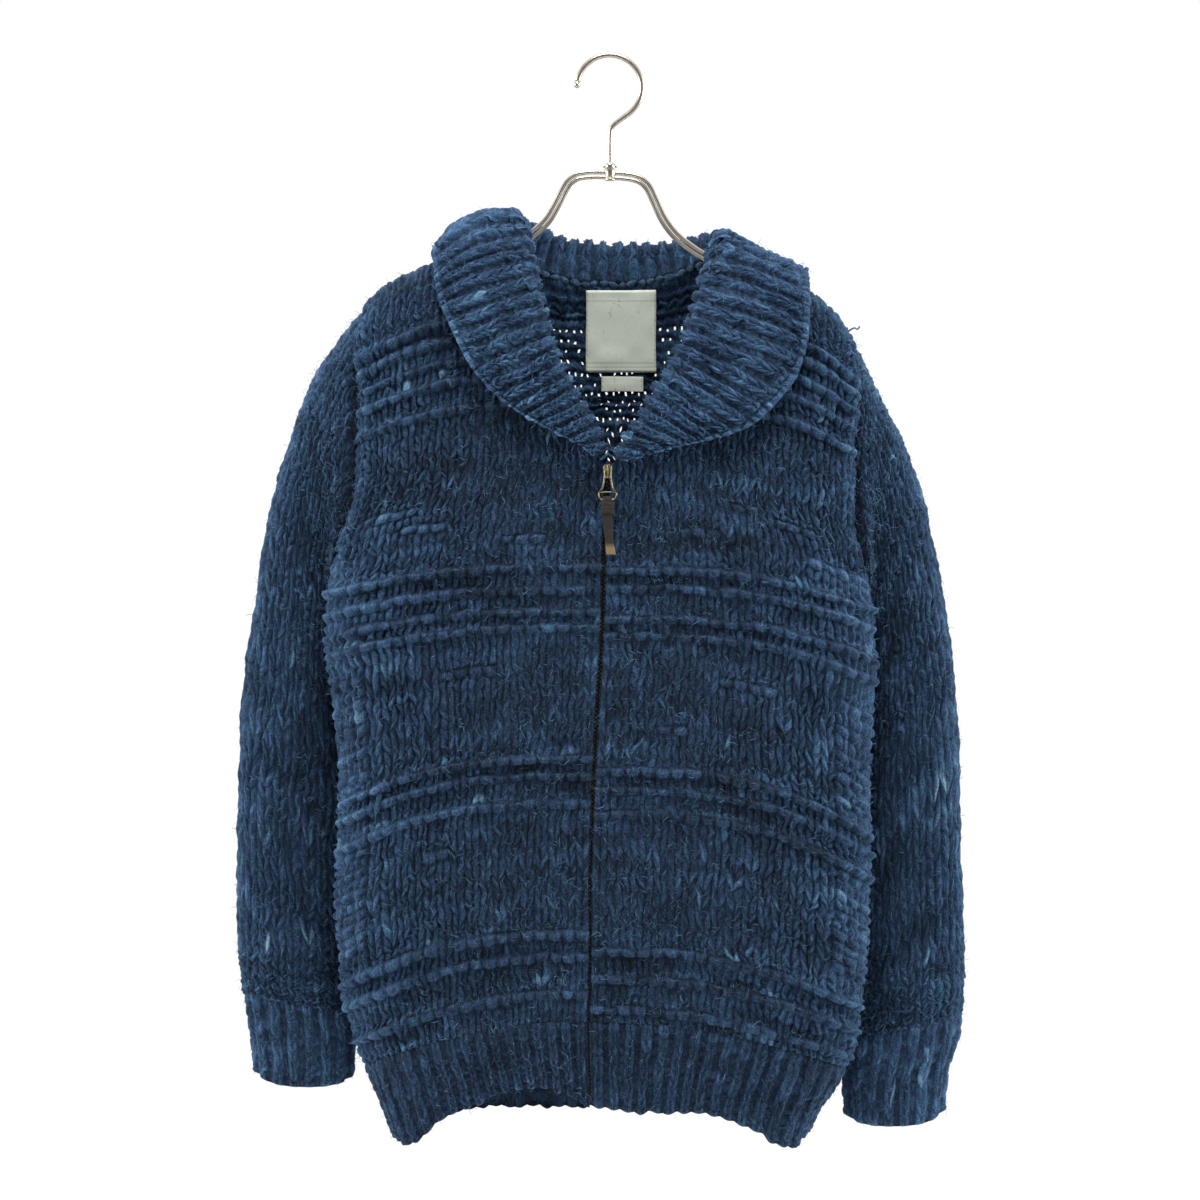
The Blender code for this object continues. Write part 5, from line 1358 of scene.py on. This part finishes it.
# ------------------------------------------------------------------ zip
# Two dark woven tapes sewn inside the edges of the fronts, each with a row of small brass
# teeth. The rows mesh along the middle and show in the narrow gap between the fronts.
TEETH = (357.0, 872.0)  # down to the first and the last
TOOTH_PITCH = 3.5
TAPE_WIDTH = 13.0
TAPE_DOWN = (354.4, HEM - 6.0)


def zip_x(row):
    return read(ZIP_LINE, row)


def inside_front(row):
    """Y of the inner surface of the fronts beside the zip."""
    return read(DEPTH, row, 1) + KNIT


def thin_sheet(name, outer, thick, material):
    """A flat piece of cloth: its front points, and the same ones further back."""
    inner = outer + np.array((0, thick, 0))
    keep = np.ones((outer.shape[0] - 1, outer.shape[1] - 1), bool)
    return facing_out(knit_mesh(name, outer, inner, keep, (1, 1), ~keep, {}, material))


ZIP_CLOTH = plain(
    "zip cloth", (0.010, 0.016, 0.034), 0.9, grain=0.6, size=1400, stretch=(1, 1, 3),
)
BRASS = plain("aged brass", (0.165, 0.143, 0.086), 0.36, metallic=1.0, grain=0.15, mottle=0.6)


def make_tape(side, name):
    rows = np.linspace(*TAPE_DOWN, 90)
    shares = np.array((0.012, 0.1, 0.3, 0.6, 0.9, 1.0)) * TAPE_WIDTH * side
    row, share = np.meshgrid(rows, shares, indexing="ij")
    y = inside_front(row) + 1.0 + 0.25 * uneven(91 + side, row, share, 22)
    cord = 0.5 * bell(np.abs(share) - 1.3, 0.9)
    return thin_sheet(name, np.stack([zip_x(row) + share, y - cord, -row], -1), 0.8, ZIP_CLOTH)


def tooth(x, y, down, side):
    """A small tooth with a rounded head that reaches over the middle."""
    outline = [
        (-side * 0.8, 0.0), (-side * 0.65, 0.5), (side * 0.1, 0.66), (side * 0.9, 0.55),
        (side * 0.9, -0.55), (side * 0.1, -0.66), (-side * 0.65, -0.5),
    ]
    points = []
    for depth, size in ((-1.1, 0.7), (-0.8, 1.0), (0.9, 1.0), (1.1, 0.8)):
        points += [(x + size * a, y + depth, -down + size * b) for a, b in outline]
    return points, ring_faces(4, len(outline))


def make_teeth():
    shapes = []
    for side in (-1, 1):
        first = TEETH[0] + (side > 0) * TOOTH_PITCH / 2
        for down in np.arange(first, TEETH[1], TOOTH_PITCH):
            x = float(zip_x(down)) + side * 0.75 + 0.55 * float(uneven(92, down, 0.0, 11))
            shapes.append(tooth(x, float(inside_front(down)) - 0.6, down, side))
    return joined("zip_teeth", shapes, BRASS, smooth=False)


for side, name, node, front in (
    (-1, "tape_l", "zip_tape_left", "front_l"), (1, "tape_r", "zip_tape_right", "front_r"),
):
    tape = make_tape(side, name)
    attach(tape, "cardigan")
    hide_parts(node)
teeth = make_teeth()
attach(teeth, "cardigan")
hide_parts("zip_chain")

# ------------------------------------------------------------------ zip slider
# A cast brass slider at the top of the zip: two plates with rounded corners round a wedge,
# and a bridge in front that the pull hangs from.
SLIDER = (343.0, 354.4)     # down to its top and its foot
SLIDER_FRONT = -49.0        # Y
PULL_PIVOT = (-50.9, 347.5)     # Y and down


def slab(outline, front, back, bevel=0.35):
    """A plate: outline of x and down, with its edges bevelled at front and back."""
    outline = np.array(outline, float)
    middle = outline.mean(axis=0)
    apart = outline - middle
    inset = middle + apart * (1 - bevel / np.linalg.norm(apart, axis=1, keepdims=True))
    points = []
    for y, ring in (
        (front, inset), (front + bevel, outline), (back - bevel, outline), (back, inset),
    ):
        points += [(x, y, -down) for x, down in ring]
    return points, ring_faces(4, len(outline))


def curved(points, times=3, closed=False):
    """A polyline with its corners cut until it is smooth."""
    points = np.array(points, float)
    for _ in range(times):
        after = np.roll(points, -1, axis=0) if closed else points[1:]
        before = points if closed else points[:-1]
        cut = np.stack([0.75 * before + 0.25 * after, 0.25 * before + 0.75 * after], 1)
        cut = cut.reshape(-1, points.shape[1])
        points = cut if closed else np.concatenate([points[:1], cut, points[-1:]])
    return points


def make_slider():
    x = float(zip_x(SLIDER[0]))
    top, bottom = SLIDER
    back = float(inside_front(top)) + 1.0

    def outline(half_top, half_bottom, high, low):
        right = [
            (0, high), (0.55 * half_top, high), (0.9 * half_top, high + 0.5),
            (half_top, high + 1.6), (half_top, high + 4.2), (half_bottom, low - 3.0),
            (half_bottom, low - 0.9), (0.8 * half_bottom, low - 0.2), (0, low),
        ]
        return [(x + a, d) for a, d in right] + [(x - a, d) for a, d in right[-2:0:-1]]

    face, pivot = SLIDER_FRONT, PULL_PIVOT[1]
    arch = [
        (x, face + 0.9, top + 0.9), (x, face - 2.2, top + 0.7), (x, face - 4.2, pivot - 1.2),
        (x, face - 4.2, pivot + 1.6), (x, face - 2.4, pivot + 3.9), (x, face + 0.9, pivot + 3.9),
    ]
    wedge = [(x - 1.7, top + 1), (x + 1.7, top + 1), (x + 1.2, bottom - 3), (x - 1.2, bottom - 3)]
    shapes = [
        slab(outline(3.5, 2.6, top, bottom), face, face + 1.6),
        slab(outline(3.6, 2.7, top + 0.5, bottom), back, back + 1.4),
        slab(wedge, face + 0.8, back + 0.7, 0.2),
        rod(curved(arch, 2), 0.95, 10, flat=1.35),
    ]
    for side in (-1, 1):
        rim = [
            (x + side * 3.2, face + 1.3, top + 2.2), (x + side * 2.9, face + 1.5, top + 6),
            (x + side * 2.2, face + 1.5, bottom - 0.8),
        ]
        shapes.append(rod(curved(rim, 2), 0.75, 8))
    return joined("slider", shapes, BRASS)


slider = make_slider()
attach(slider, "cardigan")
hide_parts("zip_slider")

# ------------------------------------------------------------------ zip pull
# A bent brass wire through the bridge, straight at the top and flared like a stirrup below,
# with a short bar across the flare. A dark leather tab is folded over the wire's foot and
# bound with a band; its tip is worn pale.
STIRRUP = (     # half width and down, from the bridge to the middle of the foot
    (0.0, 346.6), (1.5, 346.9), (2.1, 349.2), (2.5, 353.5), (3.2, 358.5), (4.1, 362.6),
    (6.2, 365.4), (7.4, 367.6), (7.2, 370.2), (5.4, 372.0), (3.0, 372.3), (0.0, 372.3),
)
TAB = (         # Y from the strap's middle and down: from its end behind, over the foot, to its tip
    (1.5, 386.5), (1.5, 380), (1.7, 374), (1.5, 371.3), (0, 369.6), (-1.5, 371.3), (-1.7, 375),
    (-1.3, 382), (-0.9, 388), (-0.7, 396), (-1.2, 405), (-1.9, 412), (-2.1, 417.6),
)
TAB_BAND = (    # X and Y from the strap's middle, and down
    (-4.8, -2.0, 379), (-4.9, 2.0, 379), (-4.0, 2.6, 379), (4.0, 2.6, 379.4), (4.9, 2.0, 379.4),
    (4.8, -2.0, 379.4), (3.9, -2.6, 379.4), (-3.9, -2.6, 379),
)


def make_pull():
    x, y = float(zip_x(SLIDER[0])), PULL_PIVOT[0]
    right = [(x + half, y - 0.4 * (down - 347) / 25, down) for half, down in STIRRUP]
    left = [(2 * x - px, py, down) for px, py, down in right[-2:0:-1]]
    loop = rod(curved(right + left, 2, closed=True), 0.78, 10, closed=True)
    wire = joined("pull_wire", [loop], BRASS)
    foot = y - 0.3
    across = [
        (x - 6.3, foot, 366.2), (x - 3, foot - 0.5, 366.0), (x + 3, foot - 0.5, 365.8),
        (x + 6.3, foot, 366.0),
    ]
    bar = joined("pull_cross_bar", [rod(across, 0.55, 8)], BRASS)
    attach(wire, "zip_pull")
    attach(bar, "zip_pull")
    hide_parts("pull_ring")
    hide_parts("pull_bar")


def strap_along(path, half_widths, thick, shift, sides=14):
    """A strap along a path of y and down, wide in X, with rounded edges."""
    path = np.array(path, float)
    run = np.gradient(path, axis=0)
    run /= np.linalg.norm(run, axis=1, keepdims=True)
    points = []
    for (y, down), (ry, rd), half, middle in zip(path, run, half_widths, shift):
        for k in range(sides):
            turn = 2 * math.pi * k / sides
            c, s = math.cos(turn), math.sin(turn)
            a = math.copysign(abs(c) ** 0.35, c) * half
            b = math.copysign(abs(s) ** 0.5, s) * thick / 2
            points.append((middle + a, y + b * rd, -(down - b * ry)))
    return points, ring_faces(len(path), sides)


def leather(name):
    """Dark waxed leather with a lengthwise grain, worn to tan at the tab's tip."""
    dark = (0.012, 0.0088, 0.0066)
    material = plain(name, dark, 0.75, grain=0.7, size=520, mottle=0.5, stretch=(3, 1, 0.7))
    nodes, add, fill = graph(material)
    split = add("SeparateXYZ", {"Vector": add("TexCoord", {}).outputs["Object"]})
    worn = add("MapRange", {
        "From Min": -0.408, "From Max": -0.4125, "To Min": 0.0, "To Max": 0.85,
        "Value": split.outputs["Z"],
    })
    tip = add("Mix", {
        "Factor": worn.outputs["Result"], "A": mottled(nodes), "B": (0.155, 0.115, 0.065, 1),
    }, data_type="RGBA")
    fill(nodes["Principled BSDF"], {
        "Specular IOR Level": 0.25, "Base Color": tip.outputs["Result"],
    })
    return material


def make_tab():
    x, y = float(zip_x(SLIDER[0])), PULL_PIVOT[0] - 0.4
    path = curved([(y + ahead, down) for ahead, down in TAB], 2)
    down = path[:, 1]
    front = np.arange(len(path)) > len(path) * 0.4
    lean = np.where(front, 3.0 * clamp((down - 384) / 33) ** 1.5, 0)
    half = np.where(front, 3.7 + 0.25 * np.sin(down / 4.1), 3.4)
    half[-1] *= 0.93
    strap = strap_along(path, half, 1.35, x - 0.3 + lean)
    band = curved([(x + a, y + b, low) for a, b, low in TAB_BAND], 2, closed=True)
    shapes = [strap]
    for shift in (-2.9, 0.0, 2.9):
        shapes.append(rod(band + (0, 0, shift), 2.3, 8, closed=True, flat=0.26))
    return joined("leather_pull", shapes, leather("waxed leather"))


make_pull()
tab = make_tab()
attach(tab, "zip_pull")
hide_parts("leather_tab")

# ------------------------------------------------------------------ labels
# Two plain satin labels sewn to the inside of the back, each with a row of small stitches down
# its sides. The large one is folded under at its ends and has fine woven lines across it.
LABELS = (      # name, solid, middle x, top, width, height
    ("label", "neck_label", 11, 194, 59, 69),
    ("small_label", "size_label", 12, 266.5, 35, 12.5),
)
THREAD = plain("label thread", (0.42, 0.44, 0.40), 0.8)


def satin(name, lines):
    """Pale woven satin with a few fine grey woven lines at the given heights."""
    pale = (0.56, 0.60, 0.51)
    material = plain(name, pale, 0.55, grain=0.35, size=1500, mottle=0.06, stretch=(0.25, 1, 2))
    nodes, add, fill = graph(material)
    split = add("SeparateXYZ", {"Vector": add("TexCoord", {}).outputs["Object"]})
    colour = mottled(nodes)
    for down in lines:
        place = {0: split.outputs["Z"], 1: -down * MM, 2: 0.35 * MM}
        near = add("Math", place, operation="COMPARE")
        faint = add("Math", {0: near.outputs["Value"], 1: 0.45}, operation="MULTIPLY")
        line = add("Mix", {
            "Factor": faint.outputs["Value"], "A": colour, "B": (0.10, 0.10, 0.09, 1),
        }, data_type="RGBA")
        colour = line.outputs["Result"]
    fill(nodes["Principled BSDF"], {"Sheen Weight": 0.1, "Base Color": colour})
    return material


def make_label(name, node, middle, top, width, height):
    large = height > 30
    lines = (top + 9, top + height - 8, top + height - 4.5) if large else ()
    across = np.linspace(-width / 2, width / 2, 30)
    rows = np.linspace(top, top + height, 30)
    row, share = np.meshgrid(rows, across, indexing="ij")
    edge = np.minimum(width / 2 - np.abs(share), np.minimum(row - top, top + height - row))
    puff = 0.7 * (1 - np.exp(-edge / 5)) * (1 + uneven(95, row, share, 14))
    hem = 0.3 * ((row - top < 4) | (top + height - row < 4)) * large
    y = read(DEPTH, row, 2) - KNIT - 2.6 - puff - hem
    bow = 0.5 * uneven(96, row, share, 30)
    points = np.stack([middle + share + bow, y, -row - 0.4 * uneven(97, share, row, 25)], -1)
    label = thin_sheet(name, points, 0.5, satin("satin " + name, lines))
    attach(label, "cardigan")
    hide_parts(node)
    dashes = []
    for side in (-1, 1):
        for down in np.arange(top + 2, top + height - 3, 4.2):
            x = middle + side * (width / 2 - 1.1)
            depth = float(read(DEPTH, down, 2)) - KNIT - 3.0
            dash = ((0.3, 0), (-0.1, 0.7), (-0.1, 1.9), (0.3, 2.6))
            dashes.append(rod([(x, depth + back, down + low) for back, low in dash], 0.22, 6))
    sewing = joined(name + "_stitches", dashes, THREAD)
    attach(sewing, "cardigan")


for facts in LABELS:
    make_label(*facts)

# ------------------------------------------------------------------ hanger
# A plain wire hanger in satin nickel: a hook that ends in a ball, a small joint under it, and
# a frame of two rods that spreads out under the shoulders of the cardigan.
NICKEL = plain("satin nickel", (0.40, 0.365, 0.31), 0.30, metallic=1.0, size=300, mottle=0.05)
HANGER_ARMS = {     # middle of the frame: reach from the joint, down
    -1: (
        (0, 98.3), (11, 97.8), (25, 99), (34, 104), (38, 110), (45, 124), (53, 137), (67, 150),
        (76, 160), (86, 171), (97, 177),
    ),
    1: (
        (0, 98.3), (17, 100), (25, 102.5), (31.5, 108), (36.5, 118), (45, 136), (56, 150),
        (70, 161), (84, 169.5), (96, 176.5),
    ),
}
HANGER_SEAT = (148, 157, 166, 175)      # reaches at which it lies under the shoulder
JOINT_X = 1.7
ROD = 1.9               # radius of the frame's rods
ROD_APART = 4.2
HOOK = 2.5              # radius of the hook's wire, of its bend, and of its ball
HOOK_BEND = 27.3
BALL = 3.25
SHANK = (       # X, Y and down, from the end of the hook's bend
    (10.5, 0, 51.8), (5.0, 0, 55.9), (2.6, 0, 59.2), (1.8, 0, 64), (1.7, 0, 72), (1.7, 0, 89),
)
JOINT = (       # radius and down
    (0.5, 88.2), (3.6, 88.3), (4.4, 88.8), (4.9, 89.8), (4.9, 92.6), (4.4, 93.2),
    (4.4, 101.4), (4.8, 102.0), (4.7, 103.0), (4.1, 103.6), (0.5, 103.7),
)
JOINT_SIDES = 24


def hanger_arm(side):
    """One side of the frame's middle, with the seats up against the shoulder added."""
    neck = NECKLINE[side][0][1]
    tip = float(side_edge(side, SHOULDER_TIP[side]))
    seats = []
    for reach in HANGER_SEAT:
        share = (JOINT_X + side * reach - neck) / (tip - neck)
        fall = float(shoulder_line(side, share + 0.02) - shoulder_line(side, share - 0.02))
        steep = math.hypot(1, fall / (0.04 * (tip - neck)))
        below = (KNIT + 1.0 + ROD_APART / 2 + ROD) * steep
        seats.append((reach, float(shoulder_line(side, share)) + below))
    return HANGER_ARMS[side] + tuple(seats)


def make_hook():
    turns = np.radians(np.linspace(173, -55, 70))
    bend = [(1.2 + HOOK_BEND * math.cos(t), 0, 24.8 - HOOK_BEND * math.sin(t)) for t in turns]
    shank = curved([bend[-1], *SHANK], 3)
    path = bend[:-1] + [tuple(point) for point in shank]
    downs = np.array([point[2] for point in path[len(bend) - 1:]])
    thinner = HOOK * (1 - 0.22 * clamp((downs - 48) / 14))
    start, run = np.array(path[0]), np.array(path[0]) - np.array(path[1])
    run /= np.linalg.norm(run)
    angles = np.radians(np.linspace(90, -60, 12))
    ball = [tuple(start + run * (3.2 * math.sin(a) + 1.0)) for a in angles]
    swell = [max(BALL * math.cos(a), 0.05) for a in angles]
    swell = np.maximum(swell, np.where(np.arange(12) > 8, 2.4, 0))
    radii = np.concatenate([swell, np.full(len(bend) - 2, HOOK), thinner])
    return joined("hook", [rod(ball + path[1:], radii, 20)], NICKEL)


def frame_middle():
    """The frame's middle line, x and down, and its direction, from one end to the other."""
    middle = []
    for side in (-1, 1):
        reaches = np.linspace(0, HANGER_SEAT[-1], 90)
        arm = [(side * r, float(d)) for r, d in zip(reaches, read(hanger_arm(side), reaches))]
        middle += arm[::-1] if side < 0 else arm[1:]
    middle = np.array(middle)
    run = np.gradient(middle, axis=0)
    return middle, run / np.linalg.norm(run, axis=1, keepdims=True)


def make_joint():
    points = []
    for radius, down in JOINT:
        for k in range(JOINT_SIDES):
            turn = 2 * math.pi * k / JOINT_SIDES
            points.append((JOINT_X + radius * math.cos(turn), radius * math.sin(turn), -down))
    shapes = [(points, ring_faces(len(JOINT), JOINT_SIDES))]
    for side in (-1, 1):
        near, far = JOINT_X + side * 3.6, JOINT_X + side * 5.4
        clip = [(near, -3.0, 90.0), (far, -2.2, 91.5), (far, 2.2, 91.5), (near, 3.0, 90.0)]
        shapes.append(rod(curved(clip, 2), 1.0, 8))
    return joined("joint", shapes, NICKEL)


hook = make_hook()
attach(hook, "cardigan")
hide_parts("hanger_hook")
middle, run = frame_middle()
for name, node, above in (
    ("rod_upper", "hanger_rod_upper", 1), ("rod_lower", "hanger_rod_lower", -1),
):
    shift = above * ROD_APART / 2
    x, down = middle[:, 0] + shift * run[:, 1], middle[:, 1] - shift * run[:, 0]
    made = joined(name, [rod(np.stack([JOINT_X + x, 0 * x, down], -1), ROD, 14)], NICKEL)
    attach(made, "cardigan")
    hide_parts(node)
joint = make_joint()
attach(joint, "cardigan")
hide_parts("hanger_joint")

# ------------------------------------------------------------------ loose fibres
# The soft halo of the brushed wool: fine fibres that stand off the stitches all over, and one
# cut end of yarn left at the right shoulder.
FIBRES = 30000
FIBRE_YARN = 0.62       # fibres stand only on yarn at least this proud
YARN_END = (
    (196, -9, 238), (199, -11, 232), (203, -13, 229), (207, -11, 227), (209, -8, 229),
    (211, -9, 226),
)


def make_fibres(pieces):
    chance = np.random.RandomState(5)
    places, normals = [], []
    for piece in pieces:
        count = len(piece.data.vertices)
        place, normal, yarn = np.empty(3 * count), np.empty(3 * count), np.empty(count)
        piece.data.vertices.foreach_get("co", place)
        piece.data.vertices.foreach_get("normal", normal)
        piece.data.attributes["yarn"].data.foreach_get("value", yarn)
        proud = yarn > FIBRE_YARN
        places.append(place.reshape(-1, 3)[proud])
        normals.append(normal.reshape(-1, 3)[proud])
    places, normals = np.concatenate(places) / MM, np.concatenate(normals)
    chosen = chance.randint(0, len(places), FIBRES)
    root, up = places[chosen], normals[chosen]
    along = np.cross(up, chance.normal(0, 1, up.shape))
    along /= np.linalg.norm(along, axis=1, keepdims=True)
    bend = np.cross(up, along)
    length = chance.uniform(2.5, 8.5, (FIBRES, 1))
    rise = chance.uniform(0.12, 0.42, (FIBRES, 1))
    middle = root + length * (0.55 * along + rise * up)
    aside = chance.uniform(-0.35, 0.35, (FIBRES, 1)) * bend
    tip = middle + length * (0.4 * along + aside + (rise - 0.25) * 0.8 * up)
    width = 0.075 * np.cross(along, up + 0.6 * chance.normal(0, 1, up.shape))
    points = np.stack([root - width, root + width, middle + width, middle - width, tip], 1)
    start = 5 * np.arange(FIBRES)[:, None]
    quads, ends = (start + np.arange(4)).tolist(), (start + (3, 2, 4)).tolist()
    mesh = bpy.data.meshes.new("loose_fibres")
    mesh.from_pydata((points.reshape(-1, 3) * MM).tolist(), [], quads + ends)
    mesh.materials.append(plain("loose fibre", (0.050, 0.115, 0.195), 0.9, size=60, mottle=0.5))
    return placed("loose_fibres", mesh)


fibres = make_fibres([
    piece for piece in bpy.context.scene.objects
    if piece.type == "MESH" and "yarn" in piece.data.attributes
])
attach(fibres, "cardigan")
yarn_path = curved(YARN_END)
yarn_end = joined("yarn_end", [rod(yarn_path, np.linspace(0.85, 0.5, len(yarn_path)), 8)], YARN)
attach(yarn_end, "cardigan")

# ------------------------------------------------------------------ the room
# A pale floor well below the hem and soft light from a white room, with the camera level and
# far back, as for a garment hung in front of a white wall.
CAMERA_BACK = 3.6       # metres here, as in everything below
VIEW_WIDTH = 1.008      # of the picture, at the hanger
SENSOR = 36.0
LIGHTS = (      # name, place, size, power
    ("left light", (-2.1, -0.6, 0.15), 1.1, 60), ("right light", (2.1, -0.5, 0.0), 1.1, 62),
    ("top light", (0.0, -0.7, 1.2), 0.9, 36),
)


def make_room():
    """A white room, brighter behind the cardigan than before it, plain white where seen."""
    world = bpy.data.worlds.new("white room")
    bpy.context.scene.world = world
    nodes, add, fill = graph(world)
    lit = nodes["Background"]
    white = add("Background", {"Color": (1, 1, 1, 1)})
    split = add("SeparateXYZ", {"Vector": add("TexCoord", {}).outputs["Generated"]})
    fade = add("MapRange", {
        "From Min": -1.0, "From Max": 0.6, "To Min": 0.17, "To Max": 1.9,
        "Value": split.outputs["Y"],
    })
    fill(lit, {"Color": (1, 1, 1, 1), "Strength": fade.outputs["Result"]})
    either = add("MixShader", {
        "Fac": add("LightPath", {}).outputs["Is Camera Ray"], 1: lit.outputs["Background"],
        2: white.outputs["Background"],
    })
    fill(nodes["World Output"], {"Surface": either.outputs["Shader"]})


def make_floor():
    bpy.ops.mesh.primitive_plane_add(size=2.6, location=(0, 0, -1.42))
    floor = bpy.context.active_object
    floor.name = "floor"
    pale = bpy.data.materials.new("pale floor")
    nodes, _, fill = graph(pale)
    fill(nodes["Principled BSDF"], {"Base Color": (0.85, 0.85, 0.86, 1), "Roughness": 0.8})
    floor.data.materials.append(pale)
    return floor


def make_light(name, place, size, power):
    lamp = bpy.data.lights.new(name, "AREA")
    lamp.size = size
    lamp.energy = power
    light = placed(name, lamp)
    light.location = place
    aim = Vector((0, 0, -0.45)) - light.location
    light.rotation_mode = "QUATERNION"
    light.rotation_quaternion = aim.to_track_quat("-Z", "Y")


def make_camera():
    lens = bpy.data.cameras.new("camera")
    camera = placed("camera", lens)
    camera.location = (-0.0067, -CAMERA_BACK, -0.4553)
    camera.rotation_euler = (math.pi / 2, 0, 0)
    lens.sensor_width = SENSOR
    lens.lens = SENSOR * CAMERA_BACK / VIEW_WIDTH
    bpy.context.scene.camera = camera
    bpy.context.scene.view_settings.view_transform = "Standard"


make_room()
make_floor()
for light in LIGHTS:
    make_light(*light)
make_camera()
